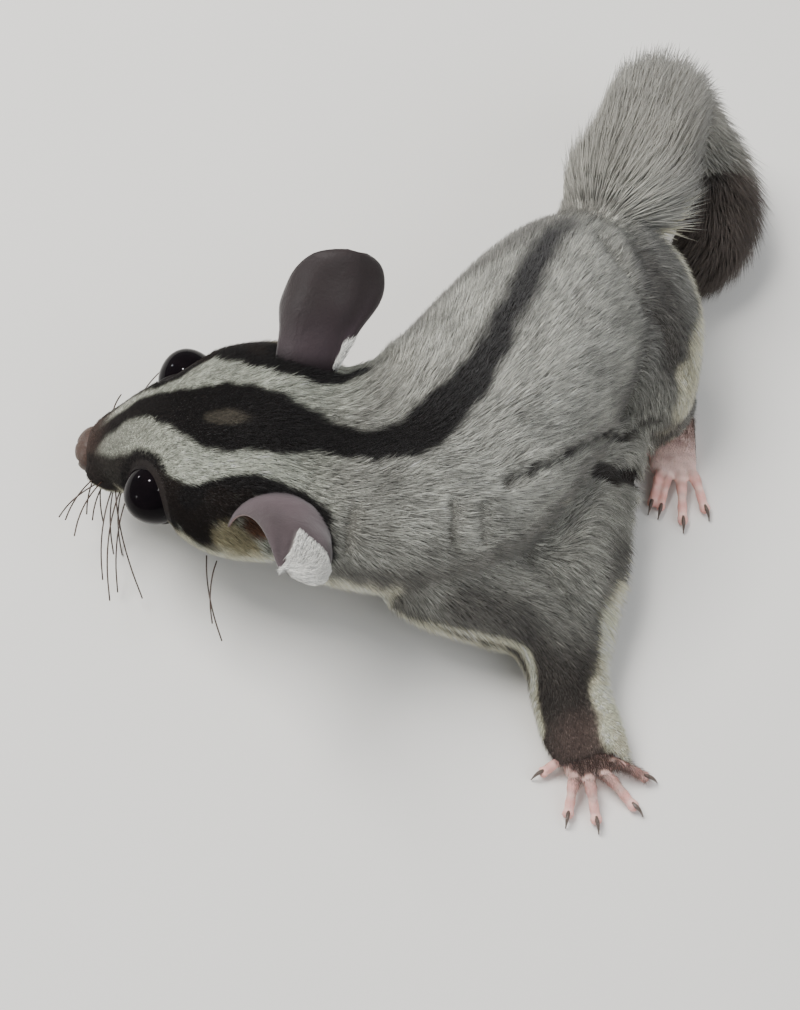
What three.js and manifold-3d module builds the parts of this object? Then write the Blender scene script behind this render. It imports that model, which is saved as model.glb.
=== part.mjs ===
// A sugar glider, life size, crouching on a flat surface with its head turned away from its hips,
// its left fore foot planted out to the side and its tail curled round behind. Millimetres, +Z up.
// The head points along -X and the tail leaves along +Y.
import * as THREE from "three";
import { mergeVertices } from "three/addons/utils/BufferGeometryUtils.js";
import Module from "manifold-3d";

const wasm = await Module();
wasm.setup();

// Driving sizes
const GAP = 0.3; // left between two parts that touch
const FLOOR = 0; // the level that the feet, belly and tail lie on
const SKULL_WIDTH = 32; // over the cheeks
const EYE_RADIUS = 5;
const EYE_SPREAD = 10.3; // from the middle of the head to the centre of an eye
const EAR_LENGTH = 19.5;
const EAR_WIDTH = 17; // over the curve of the cup
const EAR_THICKNESS = 0.9;
const DIGIT_RADIUS = 0.95;
const CLAW_LENGTH = 2.4;
const TAIL_RADIUS = 11.5; // over the fur

const COLOURS = {
  coat: [0x8b8a80, 0.9],
  pale: [0xd8d2bd, 0.9],
  dark: [0x2b2724, 0.9],
  ear: [0x4a3c3e, 0.55],
  eye: [0x0b0b0f, 0.08],
  nose: [0x9c7a72, 0.5],
  skin: [0xdba9a0, 0.6],
};

const v3 = (x, y, z) => new THREE.Vector3(x, y, z);
const point = (p) => v3(p[0], p[1], p[2]);
const UP = v3(0, 0, 1);

// The value at x of a smooth line through stations [place, value, value...], as an array of values.
function along(stations, x) {
  let i = 0;
  while (i < stations.length - 2 && x > stations[i + 1][0]) i += 1;
  const [before, a, b, after] = [-1, 0, 1, 2].map((k) => {
    return stations[THREE.MathUtils.clamp(i + k, 0, stations.length - 1)];
  });
  const span = b[0] - a[0];
  const s = THREE.MathUtils.clamp((x - a[0]) / span, 0, 1);
  return a.slice(1).map((value, k) => {
    const slopeA = ((b[k + 1] - before[k + 1]) / (b[0] - before[0])) * span;
    const slopeB = ((after[k + 1] - value) / (after[0] - a[0])) * span;
    const rise = b[k + 1] - value;
    return (
      value + s * slopeA + s * s * (3 * rise - 2 * slopeA - slopeB) + s * s * s * (slopeA + slopeB - 2 * rise)
    );
  });
}

// A closed solid of rings of equal length, each ring a list of points, capped by a fan at both ends.
function skinned(rings) {
  const n = rings[0].length;
  const positions = [];
  const index = [];
  const middle = (ring) => ring.reduce((sum, p) => sum.add(p), v3(0, 0, 0)).divideScalar(n);
  rings.forEach((ring) => ring.forEach((p) => positions.push(p.x, p.y, p.z)));
  for (let i = 0; i < rings.length - 1; i += 1) {
    for (let j = 0; j < n; j += 1) {
      const [a, b] = [i * n + j, i * n + ((j + 1) % n)];
      index.push(a, b, b + n, a, b + n, a + n);
    }
  }
  const last = rings.length - 1;
  [0, last].forEach((ring) => {
    const centre = middle(rings[ring].map((p) => p.clone()));
    const tip = positions.push(centre.x, centre.y, centre.z) / 3 - 1;
    for (let j = 0; j < n; j += 1) {
      const [a, b] = [ring * n + j, ring * n + ((j + 1) % n)];
      index.push(...(ring === 0 ? [tip, b, a] : [tip, a, b]));
    }
  });
  const geometry = new THREE.BufferGeometry();
  geometry.setAttribute("position", new THREE.Float32BufferAttribute(positions, 3));
  geometry.setIndex(index);
  return geometry;
}

// Rings of a rounded section carried along a line. stations hold [x, y, z, half width, rise, depth] of
// places on the line; from and to are stations counted from 0, and grow is added all round.
function loft(stations, { from = 0, to = stations.length - 1, steps, sides, square = 2.2, grow = 0, up = UP }) {
  const table = stations.map((s, i) => [i, ...s]);
  const at = (t) => point(along(table, t));
  const rings = [];
  for (let i = 0; i <= steps; i += 1) {
    const t = from + ((to - from) * i) / steps;
    const [, , , width, rise, depth] = along(table, t);
    const step = 0.02;
    const forward = at(Math.min(t + step, table.length - 1)).sub(at(Math.max(t - step, 0))).normalize();
    const side = forward.clone().cross(up).normalize();
    const over = side.clone().cross(forward);
    const end = i === 0 ? -grow : i === steps ? grow : 0;
    const ring = [];
    for (let j = 0; j < sides; j += 1) {
      const angle = (2 * Math.PI * j) / sides;
      const [c, s] = [Math.cos(angle), Math.sin(angle)];
      const x = Math.sign(c) * Math.abs(c) ** (2 / square) * (width + grow);
      const y = Math.sign(s) * Math.abs(s) ** (2 / square) * ((s > 0 ? rise : depth) + grow);
      ring.push(at(t).addScaledVector(side, x).addScaledVector(over, y).addScaledVector(forward, end));
    }
    rings.push(ring);
  }
  return solid(skinned(rings));
}

// A manifold solid of a closed geometry, turned to face out.
function solid(geometry) {
  const bare = geometry.clone();
  ["normal", "uv"].forEach((name) => bare.deleteAttribute(name));
  const merged = mergeVertices(bare, 1e-4);
  const triVerts = Uint32Array.from(merged.index.array);
  const made = () => {
    return new wasm.Manifold(
      new wasm.Mesh({ numProp: 3, vertProperties: merged.attributes.position.array, triVerts }),
    );
  };
  if (made().volume() > 0) return made();
  for (let i = 0; i < triVerts.length; i += 3) {
    [triVerts[i + 1], triVerts[i + 2]] = [triVerts[i + 2], triVerts[i + 1]];
  }
  return made();
}

function join(solids) {
  return solids.reduce((sum, s) => sum.add(s));
}

function cut(body, ...cutters) {
  return cutters.reduce((left, c) => left.subtract(c), body);
}

// A ball or an egg of three radii, placed by a matrix.
function ball(radii, matrix, sides = 16) {
  const geometry = new THREE.SphereGeometry(1, sides, Math.round(sides * 0.7));
  geometry.scale(...radii).applyMatrix4(matrix);
  return solid(geometry);
}

const group = new THREE.Group();

// Adds a node: only its largest closed body, cut off at the floor.
function node(name, body, finish) {
  const below = new THREE.BoxGeometry(400, 400, 60).translate(0, 0, FLOOR - 30);
  const whole = body.subtract(solid(below)).simplify(0.02);
  const [largest] = whole.decompose().sort((a, b) => b.volume() - a.volume());
  const mesh = largest.getMesh();
  const geometry = new THREE.BufferGeometry();
  geometry.setAttribute("position", new THREE.BufferAttribute(mesh.vertProperties, 3));
  geometry.setIndex(new THREE.BufferAttribute(mesh.triVerts, 1));
  geometry.computeVertexNormals();
  const [color, roughness] = COLOURS[finish];
  const material = new THREE.MeshStandardMaterial({ color, roughness, metalness: 0 });
  const part = new THREE.Mesh(geometry, material);
  part.name = name;
  group.add(part);
}

// Trunk: from inside the back of the head to the rump, as [x, y, z, half width, rise, depth].
const TRUNK = [
  [-22, 8, 24.5, 12.5, 9, 12],
  [-13, 5.4, 23.4, 17.8, 11.8, 16.5],
  [-4, 4.6, 22.4, 19.6, 13.8, 19],
  [5, 6.8, 21.4, 20.5, 16.8, 21.2],
  [12.5, 13.8, 20.8, 19.8, 18.6, 21.3],
  [19.2, 23.8, 20.6, 18.4, 19.2, 21.1],
  [25.2, 34, 19.6, 16.8, 18.4, 20.1],
  [30.2, 43, 17.4, 14, 16, 17.9],
  [33.6, 49.5, 15, 9.2, 11, 13],
  [35, 53.5, 13.5, 2, 2, 2],
];
const NECK_END = 3.1; // where the neck meets the chest, counted in stations of TRUNK
const CHEST_END = 5.4; // where the chest meets the hips
const TRUNK_STATION = 10; // millimetres from one station of TRUNK to the next, about

// A stretch of the trunk between two stations.
function trunk(from, to, grow = 0) {
  const steps = Math.round((to - from) * 2.6);
  return loft(TRUNK, { from, to, steps, sides: 26, grow });
}

// Head: a frame at the middle of the line between the eyes, x to the nose, y to its left, z up.
const HEAD_AT = v3(-37.4, 12.1, 20);
const HEAD_TURN = THREE.MathUtils.degToRad(13.5);
const HEAD_DROP = THREE.MathUtils.degToRad(15);
const headForward = v3(
  -Math.cos(HEAD_DROP) * Math.cos(HEAD_TURN),
  Math.cos(HEAD_DROP) * Math.sin(HEAD_TURN),
  -Math.sin(HEAD_DROP),
);
const HEAD_ROLL = THREE.MathUtils.degToRad(-5);
const headLeft = UP.clone().cross(headForward).normalize().applyAxisAngle(headForward, HEAD_ROLL);
const headFrame = new THREE.Matrix4()
  .makeBasis(headForward, headLeft, headForward.clone().cross(headLeft))
  .setPosition(HEAD_AT);
const inHead = (x, y, z) => v3(x, y, z).applyMatrix4(headFrame);
const headUp = inHead(0, 0, 1).sub(HEAD_AT);

// From the nape to the tip of the muzzle, in the head's frame: [x, height of the line, half width, rise, depth].
const HALF = SKULL_WIDTH / 2;
const SKULL = [
  [-33, 2, 2, 2, 2],
  [-30, 1.5, 0.66 * HALF, 6, 9],
  [-24, 0.2, 1.06 * HALF, 10, 15],
  [-16, -0.6, 1.15 * HALF, 11.6, 16.6],
  [-8, -1, 1.07 * HALF, 11.4, 15.2],
  [-1.5, -1.6, 0.81 * HALF, 10.2, 11.2],
  [4, -2.2, 0.64 * HALF, 8.3, 8.6],
  [8.5, -2.8, 0.49 * HALF, 6.2, 6.7],
  [12.5, -3.4, 0.36 * HALF, 4.5, 5],
  [15.4, -3.8, 0.26 * HALF, 3.2, 3.7],
  [16.8, -4, 0.12 * HALF, 1.5, 1.7],
];

function skull(grow = 0) {
  const stations = SKULL.map(([x, z, ...size]) => [...inHead(x, 0, z).toArray(), ...size]);
  return loft(stations, { steps: 19, sides: 24, square: 2.15, grow, up: headUp });
}

// A ball with its own place in the head's frame.
function headBall(x, y, z, radii, sides) {
  return ball(radii, headFrame.clone().multiply(new THREE.Matrix4().makeTranslation(x, y, z)), sides);
}

const NAPE = -29; // where the head meets the neck
const EYE_FORWARD = -1.4;
const EYE_HEIGHT = 1.4;
const eyeBall = (side, radius) => headBall(EYE_FORWARD, side * EYE_SPREAD, EYE_HEIGHT, [radius, radius, radius], 16);

// The rim of the lids: a ring laid round the eye, facing the way that the eye looks.
function lids(side) {
  const look = v3(0.32, side * 0.8, 0.5).normalize();
  const turn = new THREE.Quaternion().setFromUnitVectors(UP, look);
  const set = look.clone().multiplyScalar(0.42 * EYE_RADIUS);
  set.add(v3(EYE_FORWARD, side * EYE_SPREAD, EYE_HEIGHT));
  const ring = new THREE.TorusGeometry(0.93 * EYE_RADIUS, 1.1, 6, 14).applyQuaternion(turn);
  return solid(ring.translate(...set.toArray()).applyMatrix4(headFrame));
}

// Lower jaw: a narrow boat under the muzzle, in the head's frame as SKULL is.
const JAW = [
  [-5, -10.8, 6.4, 3.4, 3],
  [0, -10.4, 5.8, 3, 2.8],
  [5, -9.2, 4.6, 2.5, 2.4],
  [9, -8.2, 3.4, 2.1, 1.9],
  [12, -7.5, 2.4, 1.6, 1.4],
  [13.4, -7.2, 1, 0.8, 0.7],
];

function jaw(grow = 0) {
  const stations = JAW.map(([x, z, ...size]) => [...inHead(x, 0, z).toArray(), ...size]);
  return loft(stations, { steps: 10, sides: 14, grow, up: headUp });
}

// Nose: a small bare pad on the tip of the muzzle with two comma-shaped nostrils.
function nosePad(grow = 0) {
  return headBall(15.7, 0, -2.9, [2.4 + grow, 3.1 + grow, 2.3 + grow], 14);
}

function nostril(side) {
  const hole = new THREE.CylinderGeometry(0.5, 0.3, 3, 8).rotateZ(-Math.PI / 2);
  hole.rotateZ(side * 0.75).translate(16.9, side * 1.9, -2.7);
  return solid(hole.applyMatrix4(headFrame));
}

// Upper lip: a full pad on each side of the muzzle, where the whiskers grow.
const lipPad = (side) => headBall(10.4, side * 3, -5.1, [4.4, 2.9, 2.8], 12);

// Ears: a leaf rolled into a cup, tightly at its root and loosely at its tip.
const EAR = [
  // share of the length, share of the width, angle of the roll in radians
  [0, 1, 1.05],
  [0.2, 1, 1.05],
  [0.45, 1, 1],
  [0.7, 0.95, 0.88],
  [0.88, 0.74, 0.75],
  [0.96, 0.48, 0.65],
  [1, 0.2, 0.55],
];

// Each ear in the head's frame: the middle of its root, its line from root to tip, the way that it opens, and
// how far its margins reach: rows [share of the length, front margin, rear margin], as shares of the half width.
const EARS = {
  left: {
    root: v3(-27.8, 11.6, 4.6),
    line: v3(-0.23, 0.82, 0.52),
    opening: v3(0.55, 0.45, -0.7),
    front: -1,
    margins: [
      [0, 1.3, 0.85],
      [0.2, 1.15, 0.9],
      [0.4, 0.88, 0.95],
      [0.6, 0.62, 1],
      [0.8, 0.4, 1],
      [1, 0.2, 1],
    ],
  },
  right: {
    root: v3(-26, -11.4, 4.8),
    line: v3(-0.3, -0.76, 0.58),
    opening: v3(0.66, -0.46, -0.56),
    front: 1,
    margins: [
      [0, 1.15, 0.3],
      [0.2, 1.2, 0.32],
      [0.4, 1.3, 0.5],
      [0.6, 1.22, 0.75],
      [0.8, 1.15, 0.85],
      [1, 1.1, 1],
    ],
  },
};

function ear(name) {
  const [rows, columns] = [9, 8];
  const { root, line, opening, front, margins } = EARS[name];
  const axis = line.clone().normalize();
  const facing = opening.clone();
  facing.addScaledVector(axis, -facing.dot(axis)).normalize();
  const across = axis.clone().cross(facing);
  const rings = [];
  for (let i = 0; i <= rows; i += 1) {
    const [width, roll] = along(EAR, i / rows);
    const [toFront, toRear] = along(margins, i / rows);
    const radius = (EAR_WIDTH * width) / 2 / roll;
    const spot = (j, offset) => {
      const share = (2 * j) / columns - 1;
      const angle = roll * share * (share * front > 0 ? toFront : toRear);
      const p = root.clone().addScaledVector(axis, (EAR_LENGTH * i) / rows);
      p.addScaledVector(across, (radius + offset) * Math.sin(angle));
      p.addScaledVector(facing, radius - (radius + offset) * Math.cos(angle));
      return p.addScaledVector(facing, -1.8 * Math.sin((Math.PI * i) / rows));
    };
    const ring = [];
    for (let j = 0; j <= columns; j += 1) ring.push(spot(j, 0));
    for (let j = columns; j >= 0; j -= 1) ring.push(spot(j, EAR_THICKNESS));
    rings.push(ring.map((p) => p.applyMatrix4(headFrame)));
  }
  return solid(skinned(rings));
}

// Limbs: each is a chain of stations [x, y, z, half width, rise, depth] from the trunk to the ankle or wrist.
const ARM_LEFT = [
  [-1, 0, 16, 10, 9, 9],
  [6, -6.6, 13.2, 10.6, 9, 10.4],
  [15, -10.8, 10.4, 9, 7.6, 8.6],
  [21.5, -14.4, 8.2, 7, 6, 6.8],
  [25.3, -20, 6.4, 6.1, 4.8, 5.4],
  [26.4, -26, 5, 5.8, 3.8, 4.4],
  [27.3, -32, 3.6, 5.6, 2.6, 3],
];
const ARM_RIGHT = [
  [-2, 12, 17, 8, 8, 8],
  [0, 18, 14, 8.4, 8, 8.6],
  [3.5, 23.5, 10.4, 7, 6.4, 7.4],
  [3, 27.6, 7.4, 5.8, 5, 5.8],
  [-1.8, 29.2, 5.4, 4.7, 3.8, 4.4],
  [-6.6, 29.8, 3.6, 4, 2.6, 3],
];
const THIGH_LEFT = [
  [31, 46, 18, 8, 8, 8],
  [37.5, 44.5, 19, 10, 10.5, 11],
  [41, 37, 17, 10, 10.5, 11],
  [42, 28.8, 13.5, 8.4, 8.6, 9],
  [42.3, 23.8, 10.4, 6.4, 6.4, 6.8],
  [42.4, 21, 9, 3, 3, 3],
];
const SHANK_LEFT = [
  [41.6, 23.4, 8.6, 4.6, 4.4, 5],
  [43.8, 25.4, 7.2, 5.6, 5, 5.6],
  [45.8, 28, 5.8, 5.2, 4.4, 5],
  [47.4, 31, 4.6, 4.4, 3.6, 4.2],
];
const THIGH_RIGHT = [
  [26, 44, 17, 8, 8, 8],
  [21, 44.5, 14.5, 9, 9.5, 10],
  [17, 42.4, 12.5, 8.4, 8.8, 9.6],
  [13.8, 39.4, 10.5, 6.8, 7, 8],
  [12.2, 37.8, 9.4, 3, 3, 3],
];
const SHANK_RIGHT = [
  [13.4, 39, 8, 4.8, 4.6, 5.2],
  [12.2, 41.6, 7, 5.4, 4.8, 5.4],
  [13.6, 44.8, 5.8, 4.8, 4.2, 4.8],
  [16, 47.4, 4.6, 4.2, 3.4, 4],
];
const ELBOW = 3; // the station where an arm bends

// A stretch of a limb as it is, and grown by the gap so that it can cut its neighbours.
function limb(stations, from = 0, to = stations.length - 1) {
  const steps = Math.round((to - from) * 2.2);
  return [0, GAP].map((grow) => loft(stations, { from, to, steps, sides: 15, grow }));
}

// A digit: a tapered tube of three bones, arched over its middle joint, with a claw bent down at its end.
function digit({ root, heading, length, spread, radius = DIGIT_RADIUS, claw = CLAW_LENGTH, rise = 2.6 }, grow) {
  const forward = v3(Math.cos(heading + spread), Math.sin(heading + spread), 0);
  const at = (share, z) => root.clone().addScaledVector(forward, share * length).setZ(z).toArray();
  const bones = [
    [...at(0, root.z), 1.25 * radius, 1.25 * radius, 1.25 * radius],
    [...at(0.36, rise), radius, radius, radius],
    [...at(0.7, 0.62 * rise), 0.86 * radius, 0.86 * radius, 0.86 * radius],
    [...at(0.92, 1.05), 1.08 * radius, 0.95 * radius, 1.02 * radius],
    [...at(1.04, 0.85), 0.5 * radius, 0.5 * radius, 0.6 * radius],
  ];
  const flesh = loft(bones, { steps: 4, sides: 6, square: 2, grow });
  if (claw === 0) return flesh;
  const nail = [
    [...at(0.92, 1.5), 0.5, 0.55, 0.5],
    [...at(1 + (0.4 * claw) / length, 1.55), 0.45, 0.5, 0.5],
    [...at(1 + (0.85 * claw) / length, 0.9), 0.28, 0.3, 0.3],
    [...at(1 + claw / length, 0.3), 0.08, 0.08, 0.08],
  ];
  return flesh.add(loft(nail, { steps: 2, sides: 4, square: 2, grow }));
}

// A foot: a sole from the wrist or heel to the knuckles, and its digits set round the front of it.
function foot({ at, heading, length, width, height, digits }, grow) {
  const forward = v3(Math.cos(heading), Math.sin(heading), 0);
  const side = v3(-forward.y, forward.x, 0);
  const place = (x, y, z) => at.clone().addScaledVector(forward, x).addScaledVector(side, y).setZ(z);
  const level = (x, z) => place(x * length, 0, z * height).toArray();
  const sole = [
    [...level(-0.1, 0.5), 0.3 * width, 0.3 * height, 0.3 * height],
    [...level(0.06, 0.5), 0.4 * width, 0.46 * height, 0.5 * height],
    [...level(0.5, 0.46), 0.47 * width, 0.4 * height, 0.5 * height],
    [...level(0.85, 0.42), 0.5 * width, 0.32 * height, 0.44 * height],
    [...level(1, 0.4), 0.36 * width, 0.2 * height, 0.3 * height],
  ];
  const toes = digits.map(({ x, y, ...toe }) => {
    return digit({ root: place(x * length, y * width, 0.42 * height), heading, ...toe }, grow);
  });
  return join([loft(sole, { steps: 5, sides: 10, grow }), ...toes]);
}

// Fore foot: five clawed digits, the first held out to the inner side. inner is +1 where that is to the left.
function foreFoot(at, heading, inner, opened = 1) {
  const digits = [
    { x: 0.42, y: 0.34 * inner, length: 5.2, spread: 1.25 * inner * opened },
    { x: 0.9, y: 0.32 * inner, length: 6.8, spread: 0.36 * inner * opened },
    { x: 0.97, y: 0.09 * inner, length: 7.6, spread: 0 },
    { x: 0.93, y: -0.16 * inner, length: 7.8, spread: -0.6 * inner * opened },
    { x: 0.72, y: -0.38 * inner, length: 6.4, spread: -1.05 * inner * opened },
  ];
  const shape = { at, heading, length: 6.2, width: 8.2, height: 4.4, digits };
  return [foot(shape, 0), foot(shape, GAP)];
}

// Hind foot: a stout clawless big toe at right angles, two slim toes joined by skin, and two long ones.
function hindFoot(at, heading, inner) {
  const digits = [
    { x: 0.5, y: 0.3 * inner, length: 5.6, spread: 1.2 * inner, radius: 1.35, claw: 0, rise: 2 },
    { x: 0.93, y: 0.26 * inner, length: 6.4, spread: 0.2 * inner, radius: 0.8 },
    { x: 0.95, y: 0.08 * inner, length: 6.8, spread: 0.16 * inner, radius: 0.8 },
    { x: 0.95, y: -0.16 * inner, length: 9, spread: -0.1 * inner },
    { x: 0.86, y: -0.36 * inner, length: 8, spread: -0.4 * inner },
  ];
  const shape = { at, heading, length: 12, width: 8, height: 4.6, digits };
  return [foot(shape, 0), foot(shape, GAP)];
}

// Gliding skin: a soft sheet between wrist, flank and ankle. inner and outer are lines of points, the first
// sunk in the trunk and limbs, the second its free edge; the sheet swells between them and thins to its edge.
function glidingSkin({ inner, outer, swell, thick, thin }) {
  const [rows, columns] = [10, 5];
  const line = (points) => new THREE.CatmullRomCurve3(points.map(point), false, "centripetal");
  const [root, edge] = [line(inner), line(outer)];
  const rings = [];
  for (let i = 0; i <= rows; i += 1) {
    const [a, b] = [root.getPoint(i / rows), edge.getPoint(i / rows)];
    const spot = (s, lift) => {
      const p = a.clone().lerp(b, s);
      return p.setZ(p.z + swell * Math.sin(Math.PI * Math.min(1, s)) + lift);
    };
    const depth = (s) => thick + (thin - thick) * s;
    const ring = [];
    for (let j = 0; j <= columns; j += 1) ring.push(spot(j / columns, 0));
    for (let j = columns; j >= 0; j -= 1) ring.push(spot(j / columns, -depth(j / columns)));
    rings.push(ring);
  }
  return solid(skinned(rings));
}

const SKIN_LEFT = {
  inner: [
    [29, -33, 4],
    [28.6, -26, 6],
    [27, -19, 8.5],
    [20, -9, 14],
    [22, -2, 17],
    [27, 8, 18],
    [33, 17, 16],
    [39, 23, 12.5],
    [44, 25, 8],
  ],
  outer: [
    [37.5, -35.8, 3],
    [35.6, -31.5, 4.2],
    [33.6, -26, 5.6],
    [33.6, -19.5, 7.2],
    [35.5, -12, 8.8],
    [37.4, -4, 10],
    [38.4, 5, 10],
    [40.6, 13.5, 8],
    [44.6, 20.5, 4.6],
  ],
  swell: 3,
  thick: 5,
  thin: 1.3,
};
const SKIN_RIGHT = {
  inner: [
    [-5, 28, 4],
    [2, 24, 9],
    [8, 25, 12],
    [11, 31, 12],
    [13, 38, 9],
    [15, 43, 5],
  ],
  outer: [
    [-6, 33.6, 2.6],
    [-2, 33.4, 4.6],
    [0.5, 33.6, 7],
    [1.5, 36.5, 8],
    [3, 40.5, 6],
    [9, 46.5, 3],
  ],
  swell: 1.4,
  thick: 4,
  thin: 1.6,
};

// Tail: up over its own end and back along the right of it, [x, y, z, half width, rise, depth].
const R = TAIL_RADIUS;
const TAIL = [
  [29.5, 44, 14, 0.5 * R, 0.5 * R, 0.5 * R],
  [33.4, 50.2, 18.8, 0.8 * R, 0.8 * R, 0.8 * R],
  [37.4, 56.6, 24.2, 0.98 * R, 0.98 * R, 0.98 * R],
  [40.6, 63.4, 28, 1.02 * R, 1.02 * R, 1.02 * R],
  [43.2, 70.8, 29.2, R, R, R],
  [46.4, 77.8, 25, 0.94 * R, 0.94 * R, 0.94 * R],
  [51, 80.8, 16.4, 0.88 * R, 0.88 * R, 0.88 * R],
  [55.4, 76.6, 9.6, 0.84 * R, 0.84 * R, 0.84 * R],
  [57.2, 68.6, 8.8, 0.8 * R, 0.8 * R, 0.78 * R],
  [55.4, 60.8, 8.2, 0.72 * R, 0.7 * R, 0.72 * R],
  [51, 54.8, 6.8, 0.58 * R, 0.56 * R, 0.58 * R],
  [45.6, 51.6, 4.6, 0.3 * R, 0.3 * R, 0.36 * R],
  [42.8, 50.6, 3.2, 0.1 * R, 0.1 * R, 0.1 * R],
];
const TAIL_CUTS = [0, 2.8, 5.4, 8.4, TAIL.length - 1]; // stations where its four lengths meet
const TAIL_STATION = 9; // millimetres from one station to the next, about
const TAIL_UP = v3(0.85, 0, 0.53); // square to the plane that the tail turns back in
const TAIL_CORE = 0.56; // share of the radius that is solid, under the locks
const LOCK_ROWS = 9; // rows of locks along the tail
const LOCKS_ROUND = 6;
const LOCK_LENGTH = 25;
const LOCK_TILT = 0.22; // one edge is raised over the next lock, as on a tiled roof

function tail(from, to, grow = 0, share = 1) {
  const steps = Math.round((to - from) * 2);
  const stations = TAIL.map(([x, y, z, ...size]) => [x, y, z, ...size.map((r) => share * r)]);
  return loft(stations, { from, to, steps, sides: 12, square: 2, grow, up: TAIL_UP });
}

// One lock of the tail's fur: a flat blade, bowed over the tail, that leaves the core at the station from and
// lies back to its tip out on the tail's outline.
function lock(from, angle, length, width) {
  const table = TAIL.map((s, i) => [i, ...s]);
  const at = (t) => point(along(table, Math.min(t, table.length - 1)));
  const blade = [
    // share of the length, of the way out from the core, of the width, and thickness
    [0, 0.05, 0.6, 1],
    [0.36, 0.5, 1, 1.3],
    [0.74, 0.88, 0.74, 1],
    [1, 1, 0.05, 0.2],
  ];
  const rings = blade.map(([share, out, wide, thick]) => {
    const t = Math.min(from + (share * length) / TAIL_STATION, table.length - 1);
    const reach = 0.94 * along(table, t)[3];
    const forward = at(t + 0.02).sub(at(t - 0.02)).normalize();
    const side = forward.clone().cross(TAIL_UP).normalize();
    const over = side.clone().cross(forward);
    const radial = side.clone().multiplyScalar(Math.cos(angle)).addScaledVector(over, Math.sin(angle));
    const round = forward.clone().cross(radial);
    const radius = reach * (0.36 + 0.64 * out);
    const half = (width * wide) / 2;
    const drop = Math.min(0.5 * half, (half * half) / (2 * radius + 0.1));
    return [[half, -drop], [0, thick], [-half, -drop]].map(([x, y]) => {
      return at(t).addScaledVector(radial, radius + y + LOCK_TILT * x).addScaledVector(round, x);
    });
  });
  return solid(skinned(rings));
}

// All the locks, in rows set half a step round from one another, each a little unlike the next.
function tailLocks() {
  let seed = 7;
  const chance = () => {
    seed = (seed * 16807) % 2147483647;
    return seed / 2147483647 - 0.5;
  };
  const locks = [];
  for (let row = 0; row < LOCK_ROWS; row += 1) {
    const from = 0.5 + (row * (TAIL.length - 2.6)) / (LOCK_ROWS - 1);
    const [, , , radius] = along(TAIL.map((s, i) => [i, ...s]), from + 1);
    const count = Math.max(4, Math.round((LOCKS_ROUND * radius) / R));
    for (let k = 0; k < count; k += 1) {
      const angle = (2 * Math.PI * (k + 0.5 * (row % 2) + 0.3 * chance())) / count;
      const length = LOCK_LENGTH * (1 + 0.25 * chance()) * (0.55 + (0.45 * radius) / R);
      const width = (1.15 * 2 * Math.PI * radius) / count;
      locks.push(lock(from + 0.3 * chance(), angle, length, width));
    }
  }
  return locks;
}

// The parts, each cut clear of those that it meets
const seam = GAP / 2;
const stretches = [
  [0, NECK_END - seam / TRUNK_STATION],
  [NECK_END + seam / TRUNK_STATION, CHEST_END - seam / TRUNK_STATION],
  [CHEST_END + seam / TRUNK_STATION, TRUNK.length - 1],
];
const [neckAndNape, chest, hips] = stretches.map(([from, to]) => trunk(from, to));
const [, wideChest] = stretches.map(([from, to]) => trunk(from, to, GAP));
const wideTrunk = join(stretches.map(([from, to]) => trunk(from, to, GAP)));
const wideSkull = skull(GAP);
node("chest", chest, "coat");
node("hips", hips, "coat");

const eyeSockets = join([eyeBall(1, EYE_RADIUS + GAP), eyeBall(-1, EYE_RADIUS + GAP)]);
const flesh = cut(join([skull(), neckAndNape, lipPad(1), lipPad(-1), lids(1), lids(-1)]), wideChest);
const nape = inHead(NAPE, 0, 0).dot(headForward);
const ahead = flesh.trimByPlane(headForward.toArray(), nape + seam);
node("head", cut(ahead, eyeSockets, nosePad(GAP), jaw(GAP)), "coat");
node("neck", flesh.trimByPlane(headForward.clone().negate().toArray(), seam - nape), "coat");
node("lower_jaw", jaw(), "pale");
node("nose", cut(nosePad(), nostril(1), nostril(-1)), "nose");
[["left", 1], ["right", -1]].forEach(([name, side]) => {
  node(`eye_${name}`, eyeBall(side, EYE_RADIUS), "eye");
  node(`ear_${name}`, cut(ear(name), wideSkull, wideTrunk), "ear");
});

const DOWN = -Math.PI / 2; // headings, turned from +X about +Z
const limbs = {
  left: {
    arm: ARM_LEFT,
    thigh: limb(THIGH_LEFT),
    shank: limb(SHANK_LEFT),
    hand: foreFoot(v3(29, -32.2, 0), DOWN + 0.16, -1),
    sole: hindFoot(v3(47.6, 28, 0), DOWN - 0.1, -1),
    skin: SKIN_LEFT,
  },
  right: {
    arm: ARM_RIGHT,
    thigh: limb(THIGH_RIGHT),
    shank: limb(SHANK_RIGHT),
    hand: foreFoot(v3(-7, 29.8, 0), Math.PI - 0.05, 1, 0.85),
    sole: hindFoot(v3(14.6, 46.6, 0), Math.PI + 0.7, 1),
    skin: SKIN_RIGHT,
  },
};
Object.entries(limbs).forEach(([name, { arm, thigh, shank, hand, sole, skin }]) => {
  const upperArm = limb(arm, 0, ELBOW);
  const forearm = limb(arm, ELBOW, arm.length - 1);
  const parts = [
    ["thigh", thigh],
    ["shank", shank],
    ["upper_arm", upperArm],
    ["forearm", forearm],
    ["hind_foot", sole, "skin"],
    ["fore_foot", hand, "skin"],
    ["gliding_skin", [glidingSkin(skin)]],
  ];
  parts.forEach(([kind, [body], finish = "coat"], i) => {
    const before = parts.slice(0, i).map(([, [, wide]]) => wide);
    node(`${kind}_${name}`, cut(body, wideTrunk, ...before), finish);
  });
});

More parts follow.
